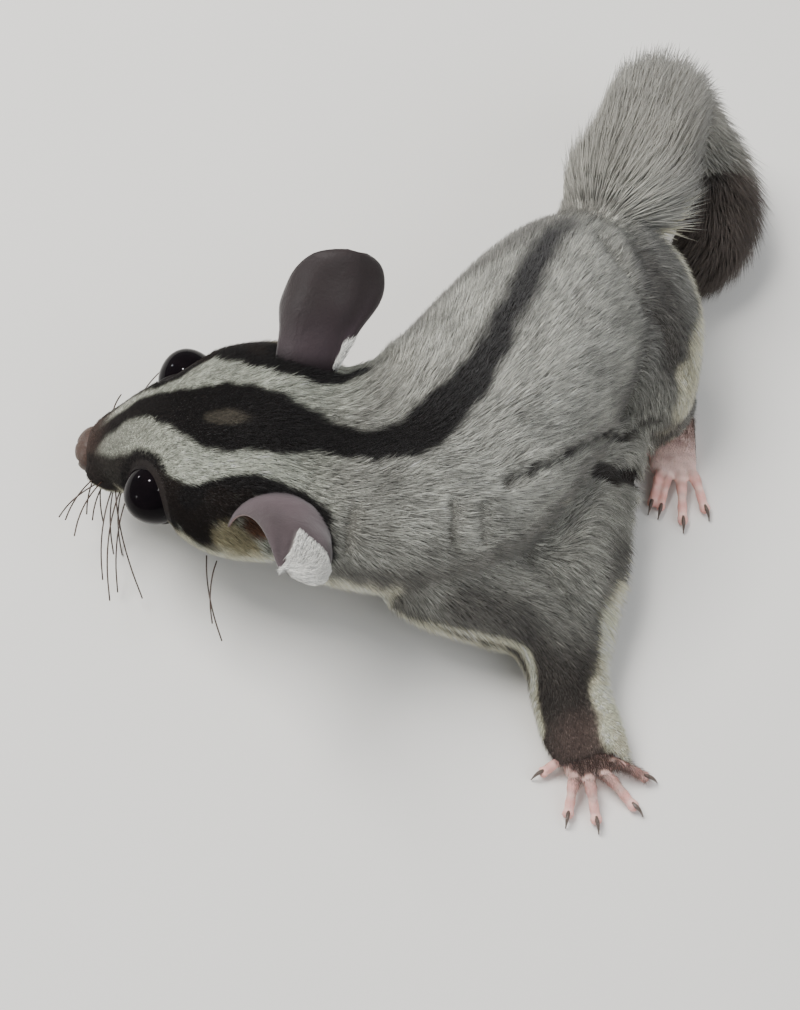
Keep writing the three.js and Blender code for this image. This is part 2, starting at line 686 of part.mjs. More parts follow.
const tailNames = ["tail_root", "tail_arch", "tail_turn", "tail_tip"];
const furryTail = join([tail(0, TAIL.length - 1, 0, TAIL_CORE), ...tailLocks()]);
const tailEnds = TAIL_CUTS.map((t, i) => [
  t + (i > 0 ? seam / TAIL_STATION : 0),
  (TAIL_CUTS[i + 1] ?? 0) - (i < 3 ? seam / TAIL_STATION : 0),
]);
tailNames.forEach((name, i) => {
  const [from, to] = tailEnds[i];
  const clear = tailEnds.slice(0, i).map(([start, end]) => tail(start, end, 1.6 * GAP, 1.02));
  if (i < 2) clear.push(wideTrunk, limbs.left.thigh[1], limbs.right.thigh[1]);
  node(name, cut(furryTail.intersect(tail(from, to, 0.05, 1.02)), ...clear), i === 3 ? "dark" : "coat");
});

// The origin is on the floor, under the middle of the whole animal.
const box = new THREE.Box3().setFromObject(group);
group.position.set(-(box.min.x + box.max.x) / 2, -(box.min.y + box.max.y) / 2, -box.min.z);

export default group;
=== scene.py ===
# A sugar glider, life size, as a museum model: it crouches on a pale floor, its head turned off to one
# side, one fore foot planted out and its tail curled round behind. All drawn sizes are in millimetres in
# the animal's own frame, with the head along -X and the tail leaving along +Y, and are moved into the
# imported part's frame in metres when a mesh is made.
import math

import bpy
import numpy as np
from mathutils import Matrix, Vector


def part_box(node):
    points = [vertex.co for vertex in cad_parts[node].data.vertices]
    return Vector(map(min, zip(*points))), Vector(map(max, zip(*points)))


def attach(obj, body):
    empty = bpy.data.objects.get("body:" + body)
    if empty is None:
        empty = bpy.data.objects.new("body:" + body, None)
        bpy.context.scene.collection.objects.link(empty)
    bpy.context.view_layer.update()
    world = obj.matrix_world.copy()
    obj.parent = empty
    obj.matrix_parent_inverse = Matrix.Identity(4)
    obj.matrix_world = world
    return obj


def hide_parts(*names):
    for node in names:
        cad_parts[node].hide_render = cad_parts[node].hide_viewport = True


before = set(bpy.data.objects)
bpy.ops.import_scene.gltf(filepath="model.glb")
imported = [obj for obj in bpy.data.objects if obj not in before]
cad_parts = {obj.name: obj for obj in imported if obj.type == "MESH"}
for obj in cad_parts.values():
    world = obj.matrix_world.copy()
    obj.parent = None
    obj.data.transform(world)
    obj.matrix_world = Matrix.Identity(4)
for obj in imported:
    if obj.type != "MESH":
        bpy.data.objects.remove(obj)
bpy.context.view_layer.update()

# Head frame and eyes.
# The eyes are large wet black domes, set to the sides of the skull and looking out, forward and up.
# Brown of the iris and pupil read as one black, under a clear cornea that stands a little proud.
HEAD_AT = np.array([-37.4, 12.1, 20.0])  # middle of the line between the eyes, nearly
HEAD_TURN, HEAD_DROP, HEAD_ROLL = np.radians([13.5, 15.0, -5.0])
EYE_RADIUS = 5.0
EYE_AT = np.array([-1.4, 10.3, 1.4])  # the left eye's middle in the head's frame: forward, out and up
EYE_LOOK = np.array([0.32, 0.8, 0.5])  # the way it looks, in the same terms
UP = np.array([0.0, 0.0, 1.0])


def unit(v):
    """v / |v|, row by row."""
    v = np.asarray(v, float)
    return v / np.maximum(np.linalg.norm(v, axis=-1, keepdims=True), 1e-9)


def turned(v, axis, angle):
    """v turned about a unit axis: v cos(angle) + (axis x v) sin(angle), for v square to the axis."""
    return v * math.cos(angle) + np.cross(axis, v) * math.sin(angle)


HEAD_X = np.array([
    -math.cos(HEAD_DROP) * math.cos(HEAD_TURN),
    math.cos(HEAD_DROP) * math.sin(HEAD_TURN),
    -math.sin(HEAD_DROP),
])
HEAD_Y = turned(unit(np.cross(UP, HEAD_X)), HEAD_X, HEAD_ROLL)
HEAD_Z = np.cross(HEAD_X, HEAD_Y)
HEAD_AXES = np.array([HEAD_X, HEAD_Y, HEAD_Z])


def in_head(points):
    """Places given in the head's frame (x to the nose, y to its left, z up): HEAD_AT + x X + y Y + z Z."""
    return HEAD_AT + np.asarray(points, float) @ HEAD_AXES


def head_places(points):
    """The other way round: the head-frame coordinates of places in the animal's frame."""
    return (points - HEAD_AT) @ HEAD_AXES.T


eye_low, eye_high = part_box("eye_left")
ORIGIN = (np.array(eye_low) + np.array(eye_high)) * 500 - in_head(EYE_AT)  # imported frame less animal's


def mesh_piece(name, points, *faces):
    """A mesh object from points in millimetres and arrays of faces, each array with one count of corners."""
    mesh = bpy.data.meshes.new(name)
    mesh.vertices.add(len(points))
    mesh.vertices.foreach_set("co", ((points + ORIGIN) / 1000).astype(np.float32).ravel())
    corners = np.concatenate([f.ravel() for f in faces]).astype(np.int32)
    counts = np.concatenate([np.full(len(f), f.shape[1]) for f in faces])
    mesh.loops.add(len(corners))
    mesh.loops.foreach_set("vertex_index", corners)
    mesh.polygons.add(len(counts))
    mesh.polygons.foreach_set("loop_start", (np.cumsum(counts) - counts).astype(np.int32))
    mesh.update(calc_edges=True)
    mesh.shade_smooth()
    piece = bpy.data.objects.new(name, mesh)
    bpy.context.scene.collection.objects.link(piece)
    return piece


def ring_shell(rings):
    """Points and faces of a closed shell of n rings of m points: quads between rings, a fan at each end."""
    rings = np.asarray(rings, float)
    n, m = rings.shape[:2]
    i, j = np.meshgrid(np.arange(n - 1), np.arange(m), indexing="ij")
    a, b = i * m + j, i * m + (j + 1) % m
    quads = np.stack([a, b, b + m, a + m], -1).reshape(-1, 4)
    rim = np.arange(m)
    turn = (rim + 1) % m
    first = np.stack([np.full(m, n * m), turn, rim], -1)
    last = np.stack([np.full(m, n * m + 1), (n - 1) * m + rim, (n - 1) * m + turn], -1)
    points = np.concatenate([rings.reshape(-1, 3), rings[[0, -1]].mean(1)])
    return points, quads, np.concatenate([first, last])


class Shade:
    """One output socket of a shader node. A sum, difference or product of shades adds its Math node."""

    def __init__(self, tree, socket):
        self.tree, self.socket = tree, socket

    def math(self, operation, *values):
        node = self.tree.nodes.new("ShaderNodeMath")
        node.operation = operation
        for slot, value in zip(node.inputs, values):
            join_socket(self.tree, slot, value)
        return Shade(self.tree, node.outputs[0])

    def __add__(self, other):
        return self.math("ADD", self, other)

    def __sub__(self, other):
        return self.math("SUBTRACT", self, other)

    def __rsub__(self, other):
        return self.math("SUBTRACT", other, self)

    def __mul__(self, other):
        return self.math("MULTIPLY", self, other)

    __radd__ = __add__
    __rmul__ = __mul__

    def clamped(self):
        return self.math("MINIMUM", self.math("MAXIMUM", self, 0.0), 1.0)


def join_socket(tree, slot, value):
    """Links a shade to a socket, or sets the socket's own value."""
    if isinstance(value, Shade):
        tree.links.new(value.socket, slot)
    else:
        slot.default_value = value


def linear(code):
    """Linear red, green and blue of a six-figure screen colour: ((c + 0.055) / 1.055) ^ 2.4 above 0.04."""
    c = np.array([int(code[i:i + 2], 16) for i in (0, 2, 4)]) / 255
    return np.where(c <= 0.04045, c / 12.92, ((c + 0.055) / 1.055) ** 2.4)


class Finish:
    """A material and its Principled shader: add() makes any node, set() sets or links its sockets."""

    def __init__(self, name, **sockets):
        self.material = bpy.data.materials.new(name)
        self.material.use_nodes = True
        self.tree = self.material.node_tree
        self.shader = self.tree.nodes["Principled BSDF"]
        self.set(**sockets)

    def set(self, **sockets):
        for name, value in sockets.items():
            join_socket(self.tree, self.shader.inputs[name.replace("_", " ")], value)

    def add(self, kind, settings=None, output=0, **sockets):
        node = self.tree.nodes.new("ShaderNode" + kind)
        for name, value in (settings or {}).items():
            setattr(node, name, value)
        for name, value in sockets.items():
            join_socket(self.tree, node.inputs[name.replace("_", " ")], value)
        return Shade(self.tree, node.outputs[output])

    def places(self, stretch=(1, 1, 1)):
        """Object coordinates, in metres, stretched along the axes."""
        spot = self.add("TexCoord", output=3)
        return self.add("Mapping", Vector=spot, Scale=stretch)

    def noise(self, size, detail=3.0, stretch=(1, 1, 1)):
        """Noise from 0 to 1 with features of about that many millimetres."""
        return self.add("TexNoise", Vector=self.places(stretch), Scale=1000 / size, Detail=detail)

    def between(self, share, one, other):
        """A colour that goes from one to the other, each a screen colour's code or a shade."""
        node = self.tree.nodes.new("ShaderNodeMix")
        node.data_type = "RGBA"
        join_socket(self.tree, node.inputs[0], share)
        for slot, value in ((node.inputs[6], one), (node.inputs[7], other)):
            join_socket(self.tree, slot, (*linear(value), 1) if isinstance(value, str) else value)
        return Shade(self.tree, node.outputs[2])

    def bumps(self, height, depth, strength):
        """A Bump node that raises the surface by height (0 to 1) times depth in millimetres."""
        self.set(Normal=self.add("Bump", Height=height, Distance=depth / 1000, Strength=strength))

    def on(self, piece, slot):
        piece.data.materials.append(self.material)
        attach(piece, "root")


def globe(centre, radii, rows=28, around=40):
    """A closed egg of rings at polar angles a: centre + (r1 cos a, r2 sin a cos b, r3 sin a sin b), in the
    head's frame."""
    a = np.linspace(0.02, math.pi - 0.02, rows)[:, None]
    b = np.linspace(0, 2 * math.pi, around, endpoint=False)[None]
    local = np.stack([np.cos(a) + 0 * b, np.sin(a) * np.cos(b), np.sin(a) * np.sin(b)], -1)
    return ring_shell(in_head(np.asarray(centre) + local[::-1] * np.asarray(radii)))


CORNEA_RISE, CORNEA_EDGE = 0.35, 0.62  # millimetres, and the cosine of the angle where it starts
eye_finish = Finish("wet_eye", Roughness=0.04, IOR=1.14, Specular_IOR_Level=0.5)
iris = eye_finish.noise(1.6, 2)
eye_finish.set(Base_Color=eye_finish.between(iris, "060507", "120d10"))
for side, word in ((1, "left"), (-1, "right")):
    centre = EYE_AT * [1, side, 1]
    points, quads, fans = globe(centre, [EYE_RADIUS] * 3, 44, 64)
    look = unit(EYE_LOOK * [1, side, 1]) @ HEAD_AXES
    facing = unit(points - in_head(centre)) @ look
    cornea = CORNEA_RISE * np.clip((facing - CORNEA_EDGE) / (1 - CORNEA_EDGE), 0, 1) ** 1.5
    points = points + look * cornea[:, None]
    eye = mesh_piece("eyeball_" + word, points, quads, fans)
    eye_finish.on(eye, "eye")
    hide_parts("eye_" + word)

# Skin.
# One skin covers head, trunk, limbs, gliding membranes and the core of the tail, without a seam. It lies
# inside the solids by the depth of the coat, and carries the coat's markings under the fur.
# Stations are [x, y, z, half width, rise, depth], the measures of the body over its fur.
TRUNK = [
    [-22, 8, 24.5, 12.5, 9, 12], [-13, 5.4, 23.4, 17.8, 11.8, 16.5], [-4, 4.6, 22.4, 19.6, 13.8, 19],
    [5, 6.8, 21.4, 20.5, 16.8, 21.2], [12.5, 13.8, 20.8, 19.8, 18.6, 21.3],
    [19.2, 23.8, 20.6, 18.4, 19.2, 21.1], [25.2, 34, 19.6, 16.8, 18.4, 20.1],
    [30.2, 43, 17.4, 14, 16, 17.9], [33.6, 49.5, 15, 9.2, 11, 13], [35, 53.5, 13.5, 2, 2, 2],
]
SKULL = [  # [x, z of the line, half width, rise, depth] in the head's frame, from the nape to the muzzle
    [-33, 2, 2, 2, 2], [-30, 1.5, 10.6, 6, 9], [-24, 0.2, 17, 10, 15], [-16, -0.6, 18.4, 11.6, 16.6],
    [-8, -1, 17.1, 11.4, 15.2], [-1.5, -1.6, 13, 10.2, 11.2], [4, -2.2, 10.2, 8.3, 8.6],
    [8.5, -2.8, 7.8, 6.2, 6.7], [12.5, -3.4, 5.8, 4.5, 5], [15.4, -3.8, 4.2, 3.2, 3.7],
    [16.8, -4, 1.9, 1.5, 1.7],
]
JAW = [
    [-5, -10.8, 6.4, 3.4, 3], [0, -10.4, 5.8, 3, 2.8], [5, -9.2, 4.6, 2.5, 2.4], [9, -8.2, 3.4, 2.1, 1.9],
    [12, -7.5, 2.4, 1.6, 1.4], [13.4, -7.2, 1, 0.8, 0.7],
]
LIMBS = {
    "arm_left": [
        [-1, 0, 16, 10, 9, 9], [6, -6.6, 13.2, 10.6, 9, 10.4], [15, -10.8, 10.4, 9, 7.6, 8.6],
        [21.5, -14.4, 8.2, 7, 6, 6.8], [25.3, -20, 6.4, 6.1, 4.8, 5.4], [26.4, -26, 5, 5.8, 3.8, 4.4],
        [27.3, -32, 3.6, 5.4, 2.6, 3], [28.2, -36.4, 2.8, 3.9, 1.3, 2],
    ],
    "arm_right": [
        [-2, 12, 17, 8, 8, 8], [0, 18, 14, 8.4, 8, 8.6], [3.5, 23.5, 10.4, 7, 6.4, 7.4],
        [3, 27.6, 7.4, 5.8, 5, 5.8], [-1.8, 29.2, 5.4, 4.7, 3.8, 4.4], [-6.6, 29.8, 3.6, 4, 2.6, 3],
        [-10.6, 30.2, 2.8, 3.2, 1.3, 2],
    ],
    "thigh_left": [
        [31, 46, 18, 8, 8, 8], [37.5, 44.5, 19, 10, 10.5, 11], [41, 37, 17, 10, 10.5, 11],
        [42, 28.8, 13.5, 8.4, 8.6, 9], [42.3, 23.8, 10.4, 6.4, 6.4, 6.8], [42.4, 21, 9, 3, 3, 3],
    ],
    "shank_left": [
        [41.6, 23.4, 8.6, 4.6, 4.4, 5], [43.8, 25.4, 7.2, 5.6, 5, 5.6], [45.8, 28, 5.8, 5.2, 4.4, 5],
        [47.4, 31, 4.6, 4.4, 3.6, 4.2],
    ],
    "thigh_right": [
        [26, 44, 17, 8, 8, 8], [21, 44.5, 14.5, 9, 9.5, 10], [17, 42.4, 12.5, 8.4, 8.8, 9.6],
        [13.8, 39.4, 10.5, 6.8, 7, 8], [12.2, 37.8, 9.4, 3, 3, 3],
    ],
    "shank_right": [
        [13.4, 39, 8, 4.8, 4.6, 5.2], [12.2, 41.6, 7, 5.4, 4.8, 5.4], [13.6, 44.8, 5.8, 4.8, 4.2, 4.8],
        [16, 47.4, 4.6, 4.2, 3.4, 4],
    ],
}
R = 11.5  # radius of the tail over its fur, where it is fullest
TAIL = [
    [29.5, 44, 14, 0.5 * R], [33.4, 50.2, 18.8, 0.8 * R], [37.4, 56.6, 24.2, 0.98 * R],
    [40.6, 63.4, 28, 1.02 * R], [43.2, 70.4, 29, 0.96 * R], [46.2, 76.6, 24.8, 0.86 * R],
    [50.6, 79.6, 16.4, 0.84 * R], [55.4, 76.6, 9.6, 0.84 * R], [57.2, 68.6, 8.8, 0.8 * R],
    [55.4, 60.8, 8.2, 0.72 * R], [51, 54.8, 6.8, 0.58 * R], [45.6, 51.6, 4.6, 0.3 * R],
    [42.8, 50.6, 3.2, 0.1 * R],
]
TAIL_UP = np.array([0.85, 0, 0.53])  # square to the plane that the tail turns back in
TAIL_CORE = [0.9, 0.88, 0.74, 0.58] + [0.48] * 9  # share of the radius that is core, station by station
MEMBRANES = {  # the line sunk in the body, the free edge, and how far the sheet swells between them
    "left": (
        [[29, -33, 4], [28.6, -26, 6], [27, -19, 8.5], [20, -9, 14], [22, -2, 17], [27, 8, 18],
         [33, 17, 16], [39, 23, 12.5], [44, 25, 8]],
        [[36.8, -37.8, 2.5], [35.6, -31.5, 4.2], [33.6, -26, 5.6], [33.6, -19.5, 7.2], [35.5, -12, 8.8],
         [37.4, -4, 10], [38.4, 5, 10], [40.6, 13.5, 8], [44.6, 20.5, 4.6]],
        3.0,
    ),
    "right": (
        [[-5, 28, 4], [2, 24, 9], [8, 25, 12], [11, 31, 12], [13, 38, 9], [15, 43, 5]],
        [[-6, 33.6, 2.6], [-2, 33.4, 4.6], [0.5, 33.6, 7], [1.5, 36.5, 8], [3, 40.5, 6], [9, 46.5, 3]],
        1.4,
    ),
}


def along(stations, places):
    """A smooth line through rows [place, value...]: on each span s from 0 to 1, the cubic with the rows'
    values at its ends and slopes (value after - value before) / (place after - place before)."""
    rows = np.asarray(stations, float)
    places = np.asarray(places, float)
    x, v = rows[:, 0], rows[:, 1:]
    back, on = np.maximum(np.arange(len(x)) - 1, 0), np.minimum(np.arange(len(x)) + 1, len(x) - 1)
    slope = (v[on] - v[back]) / (x[on] - x[back])[:, None]
    i = np.clip(np.searchsorted(x, places, side="left") - 1, 0, len(x) - 2)
    span = (x[i + 1] - x[i])[..., None]
    s = np.clip((places - x[i])[..., None] / span, 0, 1)
    rise, a, b = v[i + 1] - v[i], slope[i] * span, slope[i + 1] * span
    return v[i] + s * a + s * s * (3 * rise - 2 * a - b) + s**3 * (a + b - 2 * rise)


def carried(stations, steps, up=UP):
    """Places t along a line of stations, and the rows, the way on, the side and the upward normal there."""
    table = [[i, *row] for i, row in enumerate(stations)]
    t = np.linspace(0, len(stations) - 1, steps + 1)
    rows = along(table, t)
    ahead = along(table, np.minimum(t + 0.02, len(stations) - 1))[:, :3]
    behind = along(table, np.maximum(t - 0.02, 0))[:, :3]
    forward = unit(ahead - behind)
    side = unit(np.cross(forward, up))
    return t, rows, forward, side, np.cross(side, forward)


def tube(stations, steps=40, sides=40, square=2.2, inset=0.0, up=UP):
    """A closed tube: at each station the ring side |cos|^(2/square) w + over |sin|^(2/square) h, with signs,
    where w is the half width and h the rise above or the depth below, both less the inset."""
    stations = np.asarray(stations, float)
    if stations.shape[1] == 4:
        stations = np.concatenate([stations, stations[:, 3:], stations[:, 3:]], 1)
    t, rows, forward, side, over = carried(stations, steps, up)
    less = np.interp(t, np.arange(len(stations)), np.broadcast_to(inset, len(stations)))
    width, rise, depth = np.maximum(rows[:, 3:6].T - less, 0.12)
    angle = np.linspace(0, 2 * math.pi, sides, endpoint=False)
    c, s = np.cos(angle), np.sin(angle)
    x = np.sign(c) * np.abs(c) ** (2 / square) * width[:, None]
    y = np.sign(s) * np.abs(s) ** (2 / square) * np.where(s > 0, rise[:, None], depth[:, None])
    return ring_shell(rows[:, None, :3] + side[:, None] * x[..., None] + over[:, None] * y[..., None])


def head_line(table):
    """Stations given in the head's frame as [x, z, sizes...], in the animal's frame."""
    table = np.asarray(table, float)
    places = np.stack([table[:, 0], 0 * table[:, 0], table[:, 1]], -1)
    return np.concatenate([in_head(places), table[:, 2:]], 1)


def smooth_line(points, n):
    """n points evenly along a smooth line through the given ones."""
    points = np.asarray(points, float)
    reach = np.concatenate([[0], np.cumsum(np.linalg.norm(np.diff(points, axis=0), axis=1))])
    return along(np.column_stack([reach, points]), np.linspace(0, reach[-1], n))


def membrane(inner, outer, swell, thick=3.4, thin=0.7):
    """A closed sheet: from the root line to the free edge, raised by swell sin(pi s), and thick to thin."""
    rows, columns = 60, 18
    root, edge = smooth_line(inner, rows), smooth_line(outer, rows)
    s = np.linspace(0, 0.97, columns)[None, :, None]
    top = root[:, None] * (1 - s) + edge[:, None] * s
    top = top + UP * (swell * np.sin(math.pi * s) - 0.5)
    under = top - UP * (thick + (thin - thick) * s)
    return ring_shell(np.concatenate([top, under[:, ::-1]], 1))


FACE_FUR, BACK_FUR = 0.35, 1.3  # depth of the coat
nape_to_nose = np.interp(np.array(SKULL)[:, 0], [-30, -12, 4, 12, 15], [1.0, 0.5, FACE_FUR, 0.2, 0.8])
skull = tube(head_line(SKULL), 60, 48, 2.15, nape_to_nose, HEAD_Z)
jaw = tube(head_line(JAW), 30, 28, 2.2, 0.25, HEAD_Z)
lips = [globe([9.6, side * 3.9, -4.4], [6.2, 3.7, 3.2]) for side in (1, -1)]
limbs = [tube(rows, 40, 32, 2.2, np.linspace(1.0, 0.1, len(rows))) for rows in LIMBS.values()]
sheets = [membrane(*sheet) for sheet in MEMBRANES.values()]
tail_core = tube([[*row[:3], share * row[3]] for row, share in zip(TAIL, TAIL_CORE)], 60, 24, 2, 0, TAIL_UP)
trunk = tube(TRUNK, 70, 64, 2.2, BACK_FUR)


def joined(shells):
    """Several shells as one: points stacked, and the corners of each shell's faces moved up past them."""
    points, quads, fans, base = [], [], [], 0
    for p, q, f in shells:
        points.append(p)
        quads.append(q + base)
        fans.append(f + base)
        base += len(p)
    return np.concatenate(points), np.concatenate(quads), np.concatenate(fans)


def fused(shells, voxel):
    """Points and quads of one closed surface round all the shells, by a voxel remesh."""
    lump = mesh_piece("lump", *joined(shells))
    remesh = lump.modifiers.new("fuse", "REMESH")
    remesh.mode = "VOXEL"
    remesh.voxel_size = voxel / 1000
    solid = bpy.data.meshes.new_from_object(lump.evaluated_get(bpy.context.evaluated_depsgraph_get()))
    points = np.empty(len(solid.vertices) * 3, np.float32)
    solid.vertices.foreach_get("co", points)
    corners = np.empty(len(solid.loops), np.int32)
    solid.loops.foreach_get("vertex_index", corners)
    bpy.data.objects.remove(lump)
    return points.reshape(-1, 3).astype(float) * 1000 - ORIGIN, corners.reshape(-1, 4)


def summed(index, values, n):
    """Sums of rows of values that share an index, as n rows."""
    return np.stack([np.bincount(index, values[:, k], n) for k in range(values.shape[1])], -1)


def relaxed(points, quads, rounds, share=0.5):
    """Each point moves by its share towards the mean of its neighbours, as many rounds as given."""
    a = quads.ravel()
    b = np.roll(quads, -1, 1).ravel()
    count = np.bincount(a, minlength=len(points))[:, None]
    share = np.broadcast_to(share, len(points))[:, None]
    for _ in range(rounds):
        points = points + share * (summed(a, points[b], len(points)) / count - points)
    return points


def normals_of(points, quads):
    """Normals at the points: the sum of the cross products of the diagonals of the quads round each."""
    p = points[quads]
    cross = np.cross(p[:, 2] - p[:, 0], p[:, 3] - p[:, 1])
    return unit(summed(quads.ravel(), np.repeat(cross, 4, 0), len(points)))


SKIN_VOXEL = 0.66
skin_points, skin_quads = fused([trunk, skull, jaw, *lips, *limbs, *sheets, tail_core], SKIN_VOXEL)
head_spot = head_places(skin_points)
on_face = np.clip((head_spot[:, 0] + 22) / 14, 0, 1)
wrist_near = np.clip((8 - skin_points[:, 2]) / 4, 0, 1)
skin_points = relaxed(skin_points, skin_quads, 12, 0.6 - 0.4 * np.maximum(on_face, wrist_near))
skin_normals = normals_of(skin_points, skin_quads)

# The line of the mouth, from under the nose back along the cheek, pressed into the skin.
MOUTH = [[14.4, 0, -6.6], [12.6, 2.4, -6.9], [9.4, 4, -7.4], [5, 5.4, -8.2], [0.6, 6.6, -8.8]]
mouth_line = smooth_line(MOUTH, 40)


def left_half(h):
    """Places in the head's frame with both halves of the face laid on its left one: (x, |y|, z)."""
    return h * [1, 0, 1] + np.abs(h) * [0, 1, 0]


def near_line(spots, line):
    """Distance from each spot to the nearest point of a line of points, and that point's index."""
    best, which = np.full(len(spots), 1e9), np.zeros(len(spots), int)
    for k, point in enumerate(line):
        gap = np.linalg.norm(spots - point, axis=1)
        closer = gap < best
        best[closer], which[closer] = gap[closer], k
    return best, which


def gap_to(spots, line):
    """Distance from each spot to the nearest point of a line of points."""
    return near_line(spots, line)[0]


MOUTH_DEPTH, MOUTH_HALF = 0.55, 0.55
mouth_gap = gap_to(left_half(head_places(skin_points)), mouth_line)
press = MOUTH_DEPTH * np.exp(-((mouth_gap / MOUTH_HALF) ** 2))

# Folds of loose skin: a long one over the flank to the thigh, and short ones behind the shoulder.
FOLDS = [  # points on the line, depth, half width
    ([[16, -4, 33.5], [21.3, -0.9, 32.2], [27.9, 4.3, 28.9], [31.6, 8.3, 25.1], [37, 16, 16],
      [42.4, 20.3, 13.8]], 0.8, 0.7),
    ([[30, 7, 18.5], [34.5, 8.3, 16.5], [39, 11.2, 11.4]], 1.0, 1.1),
    ([[33, 43, 34.4], [35, 38, 34.2], [38.9, 33.8, 31], [43.4, 30.3, 24.8], [46, 26, 19]], 0.5, 1.2),
    ([[7.5, -7, 33], [7.5, -12, 28.8]], 0.6, 0.6),
    ([[12, -7.5, 31.8], [12.5, -11, 26.9]], 0.6, 0.6),
    ([[-8, -8.4, 32.5], [-9, -12, 28]], 0.5, 0.7),
]
fold_lines = []
for line, depth, half in FOLDS:
    nearest = [np.linalg.norm(skin_points - point, axis=1).argmin() for point in smooth_line(line, 50)]
    fold_lines.append(skin_points[nearest])
    gap = gap_to(skin_points, fold_lines[-1])
    press = press + depth * np.exp(-((gap / (1.6 * half)) ** 2))
    press = press - 0.4 * depth * np.exp(-(((gap - 2.6 * half) / (1.4 * half)) ** 2))
skin_points = skin_points - skin_normals * press[:, None]
skin_points[:, 2] = np.maximum(skin_points[:, 2], 0.12)
skin_normals = normals_of(skin_points, skin_quads)


def ripple(points, size, seed):
    """Smooth noise from about -1 to 1: the mean of ten sine waves of random headings and near that size."""
    chance = np.random.default_rng(seed)
    heading = unit(chance.normal(size=(10, 3))) * (2 * math.pi / size) * chance.uniform(0.6, 1.5, (10, 1))
    return np.sin(points @ heading.T + chance.uniform(0, 6.28, 10)).sum(1) / 3.2


def rise(value, low, high):
    """0 below low and 1 above high, eased between: 3 s^2 - 2 s^3."""
    s = np.clip((value - low) / (high - low), 0, 1)
    return s * s * (3 - 2 * s)


STRIPE = [  # the dark line down the middle of the face and back: [x, y, z, half width]
    [-50.1, 13.6, 17.6, 1.6], [-47.9, 14, 20, 1.5], [-44.1, 15, 23.6, 1.4], [-40.1, 14, 27.3, 2.1],
    [-34.3, 11.4, 31.2, 3.5], [-31, 9.8, 32.7, 4.7], [-27.7, 8.5, 33.9, 5.6], [-24.5, 7.3, 34.7, 5.6],
    [-21.4, 6.6, 35.1, 5], [-18.3, 5.6, 35.3, 4.3], [-15.2, 5.2, 35, 3.5], [-10.6, 3.4, 35.1, 2.8],
    [-4.4, 1.9, 35.7, 2.8], [1.4, 3.2, 36.8, 3.6], [5.6, 6.6, 37.9, 3.3], [10.2, 11, 38.8, 2.9],
    [15.2, 20.2, 39.7, 2.5], [18.8, 28.7, 39.3, 2.5], [24.2, 40.4, 36.5, 2.3], [26.6, 44.6, 34.4, 1.8],
]
stripe_line = smooth_line(STRIPE, 150)
EAR_ARC = smooth_line([[-9, 13, 6.6], [-13.4, 12.2, 8.1], [-18, 11.4, 8.6], [-23, 10.9, 7.7], [-27.6, 12, 6],
                       [-30.4, 14.2, 3.8], [-31.2, 17, 0.4]], 60)
EYE_BACK = smooth_line([[-2, 12.5, 6], [-6.5, 13.6, 5.6], [-10, 15, 4.4], [-11, 16.6, 0.6]], 40)
THIGH_RIM = smooth_line([[45, 49.5, 25.5], [49, 45, 23], [50.2, 38.7, 20.6], [49.4, 32, 20.2],
                         [48.4, 27, 18.4], [47.2, 23, 15]], 60)
# The darkening over the mid thigh is painted shade. Along the far flank it is partly darker fur and partly
# painted shade.
DARK_LINES = [  # where the grey darkens: mid thigh, front of the arm, along the membrane, far flank
    smooth_line(points, 40) for points in (
        [[38.5, 42, 31], [41.4, 37.1, 28], [44.3, 31.2, 25], [45, 27, 22]],
        [[9, -15, 17], [16.3, -16.4, 15.8], [18.7, -18, 13.8], [20.5, -21, 10]],
        [[35, -3, 12.5], [34, -10.5, 11.1], [31.6, -18.6, 9.6], [30.5, -25, 7.5]],
        [[2, 27, 31], [8.1, 33.8, 32.5], [12.9, 37, 34.3], [17.8, 41.1, 34.8], [23.9, 47.5, 32.4]],
    )
]
ARM_EDGE = smooth_line([[0, -14.2, 10], [4.7, -17.4, 12.8], [12.5, -19, 11.9], [18.1, -19.9, 10.5],
                        [19.7, -21.7, 8.8], [20.8, -25.7, 6.3], [22, -31.5, 4.2]], 60)
GLAND = np.array([-13.9, 0.8, 10.9])  # the bald scent gland on the crown, in the head's frame
CREAM_EDGE = smooth_line(MEMBRANES["left"][1][:5], 60)
WRISTS = np.array([[28.8, -33.5, 3.4], [-7.4, 29.9, 3.4]])
ANKLES = np.array([[47.5, 30, 4], [15.5, 46.8, 4]])
# How strongly and how wide the shade is painted along each fold.
FOLD_SHADES = ((0.95, 0.7), (0.95, 1.5), (0.3, 0.5), (0.4, 0.1), (0.4, 0.1), (0.3, 0.1))  # share, half width
tail_middle = smooth_line([row[:3] for row in TAIL], 120)
PALETTE = {
    name: linear(code) for name, code in {
        # The pale grey of the back's top is a painted highlight, not a marking of the fur.
        "back": "a6a59b", "back_top_highlight": "c9c9bf", "band": "d3d6c6", "stripe": "151212", "cream": "fff9da",
        "cheek": "b3aa88", "limb": "736d64", "arm_dark": "403a36", "gland": "5a5548", "muzzle": "4a3a32",
        "tail": "a3a198", "tail_tip": "655c56", "throat": "dcd4b8", "patch": "211915", "rust": "7a5844",
        "snout": "5f4a41", "wrist": "75625a", "thigh": "868580",
    }.items()
}


def toward(one, other, share):
    """Colours, row by row: one + share (other - one)."""
    return one + (other - one) * share[:, None]


